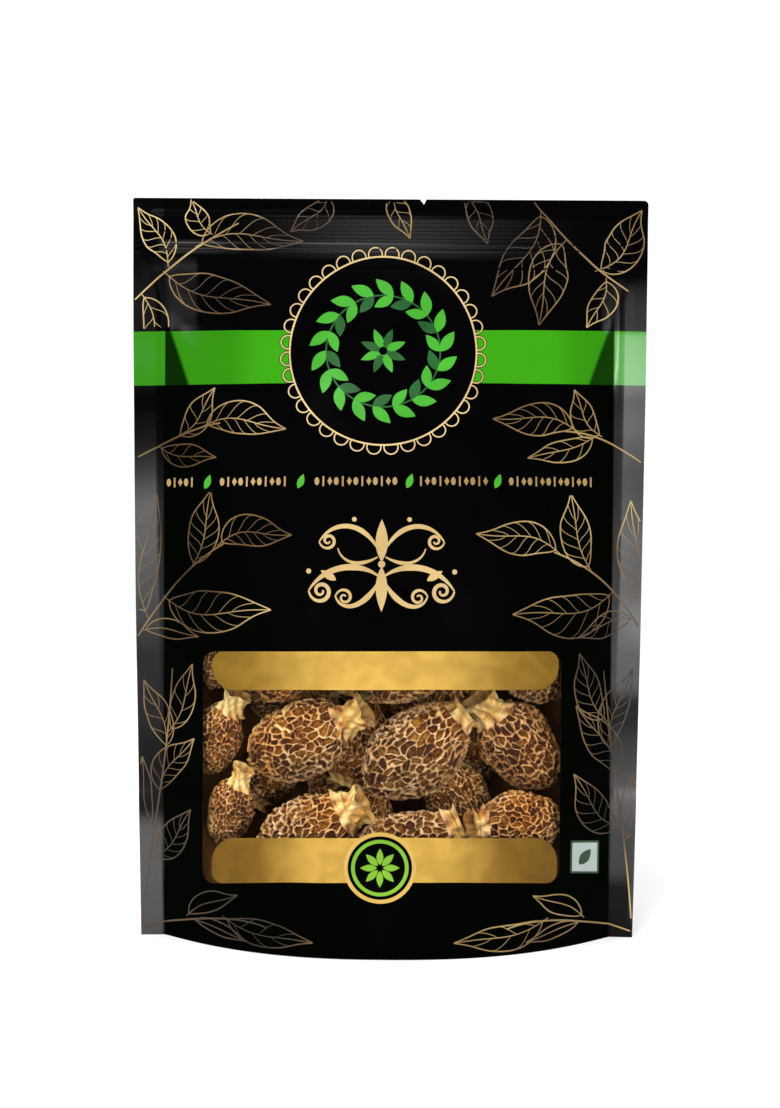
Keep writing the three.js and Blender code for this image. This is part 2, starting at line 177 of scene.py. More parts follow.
def relief(u, z, side):
    """Small forms of the film: zip lines, creases, slow waves and the seal above the gusset."""
    x = u * half_width(z)
    inside = 1 - smooth(SEAL_FROM - 0.05, SEAL_FROM, np.abs(u))
    lines = sum(tall * hill(z - at, ZIP_LINE_HALF) for at, tall in zip(ZIP_LINES, ZIP_LINE_TALL))
    lines = lines * (1 - 0.8 * smooth(0.86, 0.94, np.abs(u))) * (1 if side == FRONT else 0.25)
    body = inside * plateau(4, 16, 196, 211, z)
    waves = sum(
        tall * np.sin(2 * np.pi * (x / wide + z / long) + turn + (0 if side == FRONT else 1.7))
        for tall, wide, long, turn in WAVES
    )
    folds = 0
    for (x0, z0), (x1, z1), wide, deep in CREASES:
        dx, dz = x1 - x0, z1 - z0
        t = ((x - x0) * dx + (z - z0) * dz) / (dx * dx + dz * dz)
        off = np.abs((x - x0) * dz - (z - z0) * dx) / math.hypot(dx, dz)
        fade = np.clip(1 - (2 * t - 1) ** 2, 0, 1)
        folds = folds - deep * np.exp(-((off / wide) ** 1.4)) * fade
    seal_line = 5.5 + 30 * np.clip(np.abs(u) / SEAL_FROM, 0, 1) ** 7
    seal = -0.12 * (1 - smooth(seal_line, seal_line + 0.8, z)) * inside
    return lines + body * waves + inside * folds + seal


def outer_face(u, z, side):
    """Outer face of the film, from the middle plane."""
    step = 0.012 + 0.09 * smooth(198, 210, z)  # the seals' inner edge softens towards the header
    banded = smooth(SEAL_FROM, SEAL_FROM + step, np.abs(u))
    header = smooth(ZIP_HIGH - 0.4, ZIP_HIGH + 5, z)
    seal = SEAL_FACE + (SEAL_FACE_GUSSET - SEAL_FACE) * (1 - smooth(GUSSET_SEAL_Z, GUSSET_SEAL_Z + 6, z))
    flat = np.maximum(banded, header)
    face = (inner_face(u, z) + FILM) * (1 - flat) + seal * flat
    return face + relief(u, z, side)


def painted_side_shade(x):
    """Painted shade: how much darker the print is made towards the side seals and on the left one."""
    return (0.27 * smooth(39, 51, -x) + 0.2 * smooth(50, 60, x)) * (x < 69.8)


# Painted shade at each shoulder, where the film folds in: the way it turns, the seal's edge, a point on its
# own slanting edge, how that slants and how dark it is.
PAINTED_FOLD_SHADES = [
    {"turn": 1, "seal": -69.9, "x": -69.3, "z": 191.5, "slope": 0.356, "dark": 0.92},
    {"turn": -1, "seal": 69.7, "x": 70.2, "z": 195.5, "slope": -0.37, "dark": 0.86},
]


def painted_fold_shade_at(x, z):
    """Painted shade where the film turns in at the shoulders of the side seals and towards the sides; it also
    makes the film shine less.
    """
    shade = np.zeros_like(x)
    for fold in PAINTED_FOLD_SHADES:
        past = fold["turn"] * (x - fold["x"] + fold["slope"] * (z - fold["z"]))
        off_seal = smooth(-0.2, 0.2, fold["turn"] * (x - fold["seal"]))
        below = 1 - smooth(fold["z"] - 0.3, fold["z"] + 0.3, z)
        shade = np.maximum(shade, fold["dark"] * off_seal * below * (1 - smooth(-0.5, 0.9, past)))
    return np.maximum(shade * smooth(150, 170, z), painted_side_shade(x) * (x > -69.8))


# How much each side seal shines, from the floor up, as (height, level).
LEFT_SHINE = [
    (0, 0.82), (28, 0.88), (34, 0.8), (39, 0.09), (60, 0.10), (68, 0.16), (88, 0.17), (98, 0.28), (117, 0.36),
    (135, 0.48), (145, 0.2), (154, 0.05), (167, 0.0), (172, 0.02), (181, 0.08), (189, 0.03), (198, 0.05),
    (212, 0.02),
]
RIGHT_SHINE = [
    (0, 0.08), (16, 0.11), (21, 0.46), (32, 0.47), (42, 0.84), (51, 0.5), (60, 0.3), (68, 0.13), (74, 0.14),
    (79, 0.62), (98, 0.6), (117, 0.62), (126, 0.8), (135, 0.66), (145, 0.63), (154, 0.81), (160, 0.9),
    (168, 0.65), (173, 1.0), (188, 1.0), (190, 0.26), (198, 0.13), (203, 0.06), (206, 0.0),
]


def shine_at(u, z, side):
    """Specular level of the film: the seals and the zip's band shine, the body hardly does. The film's colour
    is also made paler by it, a painted sheen.
    """
    if side == BACK:
        return 0.03 + 0.3 * smooth(SEAL_FROM, SEAL_FROM + 0.01, np.abs(u)) * (1 - smooth(196, 206, z))
    x = u * half_width(z)
    left, right = (np.interp(z, *np.array(table).T) for table in (LEFT_SHINE, RIGHT_SHINE))
    left = left * smooth(-69.9, -70.7, x)
    right = right * smooth(69.3, 70.1, x)
    edge = 0.5 * smooth(0.982, 0.99, u) * plateau(2, 10, 50, 60, z)
    zip_zone = 0.31 * hill(x + 1.5, np.where(x < -1.5, 28.0, 32.0))
    lines = 0.2 * (np.abs(z - 214.7) < 2.0) * plateau(-75, -68, -60, -40, x)
    zip_zone = np.maximum(zip_zone, lines) * plateau(211.5, 213.5, 223.2, 224.8, z)
    strip = 0.17 * plateau(-71, -69, -60.3, -59.6, x) * plateau(189, 190, 209, 212, z)
    rounded_top = 206 - 5 * np.clip(np.abs(x - 71.5) / 5.5, 0, 1) ** 3
    patch = plateau(65.6, 66.6, 76.4, 77.2, x) * smooth(189, 190, z)
    patch = patch * (1 - smooth(rounded_top - 3, rounded_top, z)) * (0.13 + 0.15 * smooth(202, 190, z))
    streak = 0.6 * hill(x + 62.5 - 0.3 * (189 - z), 2.6) * smooth(179, 189, z) * (z < 190)
    total = np.maximum.reduce([left, right, edge, zip_zone, strip, patch, streak, np.full_like(x, 0.004)])
    # painted shade lowers the shine as well
    return total * (1 - painted_fold_shade_at(x, z))


def skin_at(u, z):
    """Thickness of the film: down to the weld in the seals, thin elsewhere."""
    sealed = np.maximum(np.abs(u) > SEAL_FROM + 0.013, z > ZIP_HIGH + 4.2)
    above = z > GUSSET_SEAL_Z + 6
    return np.where(sealed & above, SEAL_FACE - WELD, SKIN)


def film_y(x, z, lift=0.0, side=FRONT):
    """Y of a panel's outer face at (x, z), lifted off it outwards."""
    u = np.asarray(x, float) / half_width(z)
    return sway(u, z) + side * (outer_face(u, z, side) + lift)


def levelled(points):
    """Points of the level picture, brought to where they come on the film."""
    points = np.asarray(points, float)
    x, z = points[:, 0], points[:, 1]
    side = (np.abs(x) / LEVEL["half"]) ** BULGE_SHAPE
    return np.c_[x, z + LEVEL["tilt"] * x - LEVEL["share"] * (LEVEL["eye"] - z) * side]


# Mesh helpers


def make_mesh(name, points, faces, materials, slot, replaces=(), sharp=40, attributes=None, picks=None):
    """A piece from points in millimetres. picks gives each face's material index."""
    mesh = bpy.data.meshes.new(name)
    mesh.from_pydata((np.asarray(points) * MM).tolist(), [], [list(map(int, f)) for f in faces])
    mesh.validate()
    mesh.update()
    mesh.shade_smooth()
    mesh.set_sharp_from_angle(angle=math.radians(sharp))
    for material in materials:
        mesh.materials.append(material)
    if picks is not None:
        mesh.polygons.foreach_set("material_index", np.asarray(picks, np.int32))
    for key, values in (attributes or {}).items():
        layer = mesh.attributes.new(key, "FLOAT", "POINT")
        layer.data.foreach_set("value", np.asarray(values, np.float32))
    piece = bpy.data.objects.new(name, mesh)
    bpy.context.scene.collection.objects.link(piece)
    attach(piece, ROOT)
    if replaces:
        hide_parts(*replaces)
    return piece


def triangulate(loops, inner, keep):
    """Triangles over closed loops and inner points, of which keep(centres) picks those inside."""
    points, edges = [], []
    for loop in loops:
        first = len(points)
        points += [tuple(p) for p in loop]
        edges += [(first + i, first + (i + 1) % len(loop)) for i in range(len(loop))]
    points += [tuple(p) for p in inner]
    made = delaunay_2d_cdt([Vector(p) for p in points], edges, [], 0, 1e-5)
    flat = np.array([tuple(v) for v in made[0]])
    tris = np.array(made[2])
    tris = tris[keep(flat[tris].mean(axis=1))]
    used, tris = np.unique(tris, return_inverse=True)
    tris = tris.reshape(-1, 3)
    flat = flat[used]
    a, b, c = flat[tris[:, 0]], flat[tris[:, 1]], flat[tris[:, 2]]
    turned = (b[:, 0] - a[:, 0]) * (c[:, 1] - a[:, 1]) - (b[:, 1] - a[:, 1]) * (c[:, 0] - a[:, 0]) < 0
    tris[turned] = tris[turned][:, ::-1]
    return flat, tris


def close_slab(near, far, tris):
    """A closed body between two layers of the same triangles. near is the outer one."""
    count = len(near)
    edges = dict.fromkeys(edge for a, b, c in tris for edge in ((a, b), (b, c), (c, a)))
    rim = [(a, b) for a, b in edges if (b, a) not in edges]
    faces = [tuple(t) for t in tris] + [(c + count, b + count, a + count) for a, b, c in tris]
    faces += [(b, a, a + count, b + count) for a, b in rim]
    return np.vstack([near, far]), faces


def quads(grid):
    """Faces over a grid of point numbers."""
    corners = (grid[:-1, :-1], grid[1:, :-1], grid[1:, 1:], grid[:-1, 1:])
    return np.stack(corners, axis=-1).reshape(-1, 4).tolist()


def inside_loops(loops):
    """A test whether points lie inside closed loops, by counting crossings."""

    def test(points):
        hits = np.zeros(len(points), int)
        for loop in loops:
            a = np.asarray(loop)
            b = np.roll(a, -1, axis=0)
            for (x0, z0), (x1, z1) in zip(a, b):
                if z0 == z1:
                    continue
                crosses = (z0 > points[:, 1]) != (z1 > points[:, 1])
                at = x0 + (points[:, 1] - z0) * (x1 - x0) / (z1 - z0)
                hits += crosses & (points[:, 0] < at)
        return hits % 2 == 1

    return test


def spaced(loop, pitch):
    """A closed loop with its points no more than a pitch apart."""
    loop = np.asarray(loop, float)
    made = []
    for a, b in zip(loop, np.roll(loop, -1, axis=0)):
        steps = max(1, int(math.ceil(np.hypot(*(b - a)) / pitch)))
        made += [tuple(a + (b - a) * i / steps) for i in range(steps)]
    return made


def away_from(rims, points, room):
    """The points that are more than room away from every point of the rims."""
    near = [np.min(np.hypot(*(rims - p).T)) for p in points]
    return points[np.array(near) > room]


def grid_inside(loops, pitch, room):
    """Points of a square grid inside loops, at least room away from the loops' own points."""
    rims = np.array([p for loop in loops for p in loop])
    low, high = rims.min(axis=0), rims.max(axis=0)
    xs = np.arange(low[0] + pitch / 2, high[0], pitch)
    zs = np.arange(low[1] + pitch / 2, high[1], pitch)
    points = np.array([(x, z) for x in xs for z in zs]).reshape(-1, 2)
    return away_from(rims, points[inside_loops(loops)(points)], room)


def patch_parts(loops, lift, pitch=1.25, ink=0):
    """Points, faces and ink of a flat print on the front, over closed loops of (x, z)."""
    loops = [spaced(loop, pitch) for loop in loops]
    flat, tris = triangulate(loops, grid_inside(loops, pitch, 0.5 * pitch), inside_loops(loops))
    x, z = flat.T
    return (*close_slab(np.c_[x, film_y(x, z, lift), z], np.c_[x, film_y(x, z, -PATCH_SINK), z], tris), ink)


def ribbon_parts(line, widths, lift, ink=0, side=FRONT):
    """Points, faces and ink of a thin printed line along points (x, z)."""
    line = np.asarray(line, float)
    along = np.gradient(line, axis=0)
    along /= np.maximum(np.hypot(along[:, 0], along[:, 1]), 1e-9)[:, None]
    across = np.c_[-along[:, 1], along[:, 0]]
    half = np.broadcast_to(np.asarray(widths, float), (len(line),))[:, None] / 2
    left, right = line + across * half, line - across * half
    rows = []
    for edge, up in ((left, lift), (right, lift), (right, -RIBBON_SINK), (left, -RIBBON_SINK)):
        x, z = edge[:, 0], np.clip(edge[:, 1], 0.05, HEIGHT - 0.05)
        rows.append(np.c_[x, film_y(x, z, up, side), z])
    edges = np.arange(4 * len(line)).reshape(4, -1)
    faces = quads(closed(edges)) + [tuple(edges[::-1, 0]), tuple(edges[:, -1])]
    if side == BACK:
        faces = [f[::-1] for f in faces]
    return np.vstack(rows), faces, ink


def join_parts(parts):
    points, faces, inks, first = [], [], [], 0
    for made, polygons, ink in parts:
        points.append(made)
        faces += [tuple(i + first for i in f) for f in polygons]
        inks += [ink] * len(polygons)
        first += len(made)
    return np.vstack(points), faces, inks


def runs_of(line, keep):
    """The stretches of a line whose points keep() allows."""
    ok = keep(line)
    run, made = [], []
    for p, good in zip(line, ok):
        if good:
            run.append(p)
        elif run:
            made.append(run)
            run = []
    if run:
        made.append(run)
    return [np.array(r) for r in made if len(r) > 2]


def resample(line, pitch):
    line = np.asarray(line, float)
    steps = np.hypot(*np.diff(line, axis=0).T)
    far = np.concatenate([[0], np.cumsum(steps)])
    count = max(3, int(far[-1] / pitch) + 1)
    at = np.linspace(0, far[-1], count)
    return np.c_[np.interp(at, far, line[:, 0]), np.interp(at, far, line[:, 1])]


def arc(cx, cz, rx, rz, start, end, count):
    turn = np.radians(np.linspace(start, end, count))
    return np.c_[cx + rx * np.cos(turn), cz + rz * np.sin(turn)]


def circle(cx, cz, rx, rz=None, count=72):
    return arc(cx, cz, rx, rx if rz is None else rz, 0, 360, count + 1)[:-1]


def rounded(left, right, low, high, radii, steps=6):
    """A rectangle with corner radii from the lower left round to the upper left, counter-clockwise."""
    corners = [(left, low, 180), (right, low, 270), (right, high, 0), (left, high, 90)]
    made = []
    for (x, z, start), r in zip(corners, radii):
        cx = x + r if x == left else x - r
        cz = z + r if z == low else z - r
        made.append(arc(cx, cz, r, r, start, start + 90, steps + 1))
    return np.vstack(made)


def closed(loop):
    return np.vstack([loop, loop[:1]])


def polar(x, z, reach, turn, tall=1.0):
    a = math.radians(turn)
    return x + reach * math.cos(a), z + tall * reach * math.sin(a)


def bezier(p0, p1, p2, p3, count=60):
    t = np.linspace(0, 1, count)[:, None]
    p0, p1, p2, p3 = (np.array(p, float) for p in (p0, p1, p2, p3))
    return (1 - t) ** 3 * p0 + 3 * (1 - t) ** 2 * t * p1 + 3 * (1 - t) * t * t * p2 + t**3 * p3


# Materials


class Shader:
    """A material whose nodes are added by small calls. A source is a node with the name of its output."""

    def __init__(self, name):
        self.material = bpy.data.materials.new(name)
        self.material.use_nodes = True
        self.tree = self.material.node_tree
        self.tree.nodes.clear()
        self.out = self.add("ShaderNodeOutputMaterial")
        self.bsdf = self.add("ShaderNodeBsdfPrincipled")
        self.link((self.bsdf, "BSDF"), self.out, "Surface")
        self.place = self.add("ShaderNodeTexCoord")

    def add(self, kind, **values):
        node = self.tree.nodes.new(kind)
        for key, value in values.items():
            setattr(node, key, value)
        return node

    def link(self, source, node, socket):
        """Joins a source to an input, or gives the input a plain number or colour."""
        if not isinstance(source, tuple):
            node.inputs[socket].default_value = source
        elif hasattr(source[0], "outputs"):
            self.tree.links.new(source[0].outputs[source[1]], node.inputs[socket])
        else:
            node.inputs[socket].default_value = (*source, 1)

    def set(self, node, **values):
        for key, value in values.items():
            self.link(value, node, key.replace("_", " "))
        return node

    def value(self, name):
        """A value that the mesh holds at each of its points."""
        return self.add("ShaderNodeAttribute", attribute_name=name), "Fac"

    def split(self, output):
        """X, Y and Z of a texture coordinate, as three sources."""
        node = self.add("ShaderNodeSeparateXYZ")
        self.link((self.place, output), node, "Vector")
        return [(node, axis) for axis in "XYZ"]

    def noise(self, scale, detail=4.0, rough=0.55, stretch=(1, 1, 1)):
        mapping = self.add("ShaderNodeMapping")
        mapping.inputs["Scale"].default_value = stretch
        self.link((self.place, "Object"), mapping, "Vector")
        node = self.add("ShaderNodeTexNoise")
        self.set(node, Scale=scale, Detail=detail, Roughness=rough, Vector=(mapping, "Vector"))
        return node, "Fac"

    def ramp(self, source, stops):
        node = self.add("ShaderNodeValToRGB")
        points = node.color_ramp.elements
        while len(points) < len(stops):
            points.new(0.5)
        for point, (at, colour) in zip(points, stops):
            point.position = at
            point.color = (*colour, 1) if isinstance(colour, tuple) else (colour, colour, colour, 1)
        self.link(source, node, "Fac")
        return node, "Color"

    def mix(self, factor, a, b, mode="MIX", clamp=False):
        node = self.add("ShaderNodeMix", data_type="RGBA", blend_type=mode, clamp_result=clamp)
        for source, socket in ((factor, 0), (a, 6), (b, 7)):
            self.link(source, node, socket)
        return node, 2

    def math(self, kind, a, b=0.0):
        node = self.add("ShaderNodeMath", operation=kind)
        self.link(a, node, 0)
        self.link(b, node, 1)
        return node, 0

    def product(self, a, b):
        return self.math("MULTIPLY", a, b)

    def total(self, a, b):
        return self.math("ADD", a, b)

    def ranged(self, source, from_low, from_high, to_low, to_high):
        node = self.add("ShaderNodeMapRange")
        self.set(node, Value=source, From_Min=from_low, From_Max=from_high, To_Min=to_low, To_Max=to_high)
        return node, "Result"

    def base(self, source):
        self.link(source, self.bsdf, "Base Color")

    def sheen(self, level):
        self.link(level, self.bsdf, "Specular IOR Level")

    def rough(self, source, low, high):
        self.link(self.ranged(source, 0.0, 1.0, low, high), self.bsdf, "Roughness")

    def bump(self, source, strength, distance):
        node = self.add("ShaderNodeBump")
        self.set(node, Strength=strength, Distance=distance, Height=source)
        self.link((node, "Normal"), self.bsdf, "Normal")


BLACK_INK = (0.0006, 0.0006, 0.0007)
# colour of painted shade in the folds and towards the sides
PAINTED_SHADE_INK = (0.0003, 0.0008, 0.0003)
INNER_LAYER = (0.11, 0.050, 0.015)  # the film's inner side, brown to stand in for shaded morels in the gaps between them
GREEN_INK = (0.028, 0.226, 0.005)
WHITE = (1.0, 1.0, 1.0)


def toned(colour, factor):
    return tuple(factor * c for c in colour)


def film_material(name, banded):
    """Black laminate with painted shade at the shoulder folds. Its mesh says how much it shines, where more
    shade is painted on it and which side is inside.
    """
    made = Shader(name)
    slow = made.noise(26, 3)
    shine = made.value("shine")
    made.sheen(shine)
    made.rough(slow, 0.19, 0.27)
    ink = made.mix(slow, BLACK_INK, toned(BLACK_INK, 1.5))
    # painted sheen: the black is made a little paler where the film shines
    ink = made.mix(made.product(shine, 0.012), ink, WHITE)
    if banded:
        x, _, z = made.split("Object")
        level = made.math("SUBTRACT", z, made.product(x, LEVEL["tilt"]))
        over = made.math("GREATER_THAN", level, BAND[0] * MM)
        under = made.math("LESS_THAN", level, BAND[1] * MM)
        green = made.mix(made.noise(60), toned(GREEN_INK, 0.95), toned(GREEN_INK, 1.05))
        # painted sheen: the green is made paler where the film shines most
        green = made.mix(made.ranged(shine, 0.5, 1.0, 0.0, 0.05), green, WHITE)
        ink = made.mix(made.product(over, under), ink, green)
        # painted shade in the folds at the shoulders, darkening the green band
        folded = 0.0
        for fold in PAINTED_FOLD_SHADES:
            turn, slope = fold["turn"], fold["slope"]
            past = made.total(made.product(x, turn), made.product(z, turn * slope))
            past = made.total(past, -turn * (fold["x"] + slope * fold["z"]) * MM)
            off_seal = made.math("GREATER_THAN", made.product(x, turn), turn * fold["seal"] * MM)
            shade = made.product(made.ranged(past, -0.0004, 0.0007, fold["dark"], 0), off_seal)
            folded = made.math("MAXIMUM", folded, shade)
        ink = made.mix(folded, ink, PAINTED_SHADE_INK)
    # painted shade: the fold value darkens the print towards the sides and on the left seal
    ink = made.mix(made.value("fold"), ink, PAINTED_SHADE_INK)
    # the inner side is brown, standing in for shaded morels in the gaps between them
    inner_brown = made.mix(slow, toned(INNER_LAYER, 0.8), toned(INNER_LAYER, 1.2))
    made.base(made.mix(made.value("inside"), ink, inner_brown))
    return made.material


def print_material(name, low, high, rough=0.34, scale=70.0, sheen=0.3):
    """Ink of one colour that varies slowly between two tones."""
    made = Shader(name)
    patches = made.noise(scale)
    made.base(made.ramp(patches, [(0.32, low), (0.68, high)]))
    made.sheen(sheen)
    made.rough(patches, rough - 0.06, rough + 0.08)
    made.bump(made.noise(1500, 3), 0.05, 0.0003)
    return made.material


def gold_line_material(name):
    """Gold foil lines that fade to bronze and dark brown in places, more so low on the bag."""
    made = Shader(name)
    patches = made.noise(19, 2.5, 0.5)
    dimmer = made.ranged(made.split("Object")[2], 0.02, 0.11, -0.06, 0.0)
    made.base(made.ramp(made.total(patches, dimmer), [
        (0.34, (0.018, 0.008, 0.002)),
        (0.45, (0.080, 0.042, 0.012)),
        (0.54, (0.22, 0.142, 0.044)),
        (0.64, (0.42, 0.305, 0.115)),
        (0.74, (0.58, 0.46, 0.22)),
    ]))
    made.sheen(0.4)
    made.rough(patches, 0.42, 0.28)
    made.bump(made.noise(1500, 3), 0.05, 0.0003)
    return made.material


def banner_material(name, between, end):
    """Gold ink, softly clouded and lighter in the middle of the bag."""
    made = Shader(name)
    away = made.math("ABSOLUTE", made.total(made.split("Object")[0], 0.002))
    tone = made.ramp(made.product(away, 18.0), [
        (0.0, (0.51, 0.31, 0.056)),
        (0.36, (0.46, 0.276, 0.047)),
        (0.66, between),
        (0.93, end),
    ])
    curls = made.add("ShaderNodeTexWave", wave_type="RINGS", rings_direction="SPHERICAL")
    made.set(curls, Scale=24.0, Distortion=5.0, Detail=1.0, Detail_Scale=5.0, Vector=(made.place, "Object"))
    blotch = made.noise(170)
    swirl = made.total(made.product((curls, "Fac"), 0.4), made.product(blotch, 0.6))
    made.base(made.mix(1.0, tone, made.ramp(swirl, [(0.2, (0.78, 0.76, 0.70)), (0.7, WHITE)]), "MULTIPLY"))
    made.sheen(0.12)
    made.rough(blotch, 0.36, 0.48)
    made.bump(blotch, 0.03, 0.0004)
    return made.material


def clear_material(name):
    """Clear film: what lies behind shows, with a thin gloss over it."""
    made = Shader(name)
    gloss = made.ranged(made.noise(30, 3), 0.0, 1.0, 0.1, 0.2)
    made.set(made.bsdf, Base_Color=(0.9, 0.9, 0.9), Metallic=1.0, Roughness=gloss)
    see = made.set(made.add("ShaderNodeBsdfTransparent"), Color=(0.965, 0.97, 0.965))
    edge = made.set(made.add("ShaderNodeFresnel"), IOR=1.04)
    both = made.add("ShaderNodeMixShader")
    for socket, source in enumerate(((edge, "Fac"), (see, "BSDF"), (made.bsdf, "BSDF"))):
        made.link(source, both, socket)
    made.link((both, "Shader"), made.out, "Surface")
    return made.material


def plastic_material(name):
    made = Shader(name)
    cloud = made.noise(120)
    made.base(made.ramp(cloud, [(0.3, (0.62, 0.65, 0.66)), (0.7, (0.74, 0.76, 0.77))]))
    made.rough(cloud, 0.34, 0.46)
    made.bump(made.noise(700, 2, stretch=(0.05, 1, 1)), 0.1, 0.0003)
    return made.material


def morel_material(name):
    """Pale ridges over pits of mixed browns on the cap, cream with rusty spots on the stem, with painted
    light and shade.
    """
    made = Shader(name)
    ridge = made.value("ridge")
    blotch = made.noise(170, 5)
    fine = made.noise(1300, 5, 0.65)
    net = made.total(ridge, made.ranged(fine, 0.25, 0.75, -0.3, 0.3))
    mixed = made.total(made.value("pit"), made.ranged(blotch, 0.3, 0.7, -0.35, 0.35))
    mixed = made.total(mixed, made.ranged(fine, 0.3, 0.7, -0.3, 0.3))
    floor = made.ramp(mixed, [
        (0.05, (0.070, 0.018, 0.001)),
        (0.4, (0.170, 0.062, 0.005)),
        (0.7, (0.30, 0.130, 0.016)),
        (1.0, (0.50, 0.255, 0.050)),
    ])
    # painted shade: the pits are made darker on their walls, near the ridges
    pit_wall_shade = made.ramp(ridge, [(0.02, 1.0), (0.2, 0.46), (0.4, 0.4), (0.6, 0.8), (0.8, 1.0)])
    crest = made.ramp(blotch, [
        (0.32, (0.54, 0.27, 0.11)),
        (0.5, (0.82, 0.52, 0.28)),
        (0.68, (0.88, 0.68, 0.48)),
    ])
    cap = made.mix(made.ranged(net, 0.34, 1.02, 0.0, 1.0), made.mix(1.0, floor, pit_wall_shade, "MULTIPLY"), crest)
    patches = made.ramp(made.noise(42, 3), [(0.35, 0.0), (0.65, 1.0)])
    warm = made.mix(patches, cap, (0.56, 0.36, 0.16), "SOFT_LIGHT")
    grey = made.mix(made.value("tone"), warm, (0.36, 0.34, 0.30), "SOFT_LIGHT")
    cream = made.ramp(blotch, [
        (0.32, (0.15, 0.030, 0.006)),
        (0.38, (0.48, 0.20, 0.034)),
        (0.47, (0.72, 0.44, 0.12)),
        (0.62, (0.80, 0.60, 0.25)),
    ])
    # on the stem, the ridge value is painted shade in its furrows and hollow
    whole = made.mix(made.value("stem"), grey, made.mix(ridge, (0.26, 0.10, 0.022), cream))
    above = made.ranged(made.split("Normal")[2], -0.8, 0.8, 0.74, 1.4)  # painted light: what faces up is made lighter
    made.base(made.mix(1.0, whole, made.product(made.value("light"), above), "MULTIPLY", clamp=True))
    made.sheen(0.3)
    made.rough(fine, 0.58, 0.84)
    made.bump(fine, 0.7, 0.0008)
    return made.material


def floor_material(name):
    made = Shader(name)
    made.base(made.ramp(made.noise(14, 3), [(0.3, 0.965), (0.7, 0.98)]))
    made.set(made.bsdf, Roughness=0.75, Specular_IOR_Level=0.1)
    return made.material


FILM_BANDED = film_material("film_black_with_band", True)
FILM_PLAIN = film_material("film_black", False)
CLEAR = clear_material("film_clear")
PLASTIC = plastic_material("zip_plastic")
MOREL = morel_material("dried_morel")
GOLD_LINE = gold_line_material("gold_foil_line")
GOLD_PALE = print_material("gold_pale", (0.36, 0.24, 0.085), (0.48, 0.34, 0.135))
GOLD_RING = print_material("gold_ring", (0.42, 0.30, 0.125), (0.54, 0.40, 0.185))
GOLD_BEADS = print_material("gold_beads", (0.21, 0.13, 0.045), (0.38, 0.26, 0.10), scale=30.0)
GOLD_TOP = banner_material("gold_banner_top", (0.235, 0.134, 0.014), (0.170, 0.092, 0.006))
GOLD_LOW = banner_material("gold_banner_low", (0.172, 0.090, 0.007), (0.122, 0.060, 0.002))
GOLD_BADGE = print_material("gold_badge", (0.46, 0.285, 0.062), (0.54, 0.35, 0.09), sheen=0.12)
GREEN_BRIGHT = print_material("green_bright", (0.028, 0.25, 0.008), (0.042, 0.32, 0.014))
GREEN_DARK = print_material("green_dark", (0.004, 0.06, 0.008), (0.008, 0.10, 0.014))
GREEN_DEEP = print_material("green_deep", (0.004, 0.028, 0.007), (0.007, 0.045, 0.011))
GREEN_LIME = print_material("green_lime", (0.12, 0.31, 0.006), (0.17, 0.38, 0.012))
BLACK_PRINT = print_material("black_print", BLACK_INK, toned(BLACK_INK, 1.6), 0.2, sheen=0.01)
PALE_PRINT = print_material("pale_print", (0.26, 0.31, 0.29), (0.34, 0.38, 0.36))

# Film pieces


def window_loop(inset):
    w = WINDOW
    sides = (w["left"] + inset, w["right"] - inset, w["low"] + inset, w["high"] - inset)
    return levelled(spaced(rounded(*sides, [w["corner"] - inset] * 4, 8), GRID))


def to_share(points):
    """(x, z) on the film to (80 times the share across, z)."""
    points = np.asarray(points, float)
    return np.c_[points[:, 0] / half_width(points[:, 1]) * (WIDTH / 2), points[:, 1]]


def film_lines(side):
    """Grid lines of the film: across in eightieths of half the width, and up in millimetres."""
    half, edge = WIDTH / 2, SEAL_FROM * WIDTH / 2
    count, pitch, zip_pitch, below_zip = (48, GRID, 0.3, 212.5) if side == FRONT else (30, 2.4, 0.6, 203.9)
    inner = np.arange(1 - count, count) * (edge / count)
    turn_in = np.arange(edge - 2.2, edge + 0.2, 0.35)
    seal = np.arange(edge + 2.0, half, 1.2)
    across = np.concatenate([inner, turn_in, [edge, edge + 0.5, edge + 1.06], seal])
    across = np.unique(np.round(np.concatenate([across, -across]), 5))
    up = np.concatenate([
        np.arange(0.8, below_zip, pitch),
        np.arange(below_zip + 0.5, 212.6, 0.7),
        np.arange(ZIP_LOW, 224.6, zip_pitch),
        np.arange(225.2, HEIGHT - 0.4, 0.9),
    ])
    return across[np.abs(across) < half - 0.4], up


def film_outline():
    """The panel's outline in share coordinates, with rounded top corners and the tear nick."""
    half, top, nick, left, right = WIDTH / 2, HEIGHT, NICK["x"], CORNER_LEFT, CORNER_RIGHT
    loop = [(-half, 0), (half, 0), (half, top - right)]
    loop += [*arc(half - right, top - right, right, right, 15, 90, 5)]
    loop += [(nick + NICK["right"], top), (nick, top - NICK["deep"]), (nick - NICK["left"], top)]
    return spaced([*loop, *arc(left - half, top - left, left, left, 90, 180, 4)], GRID)


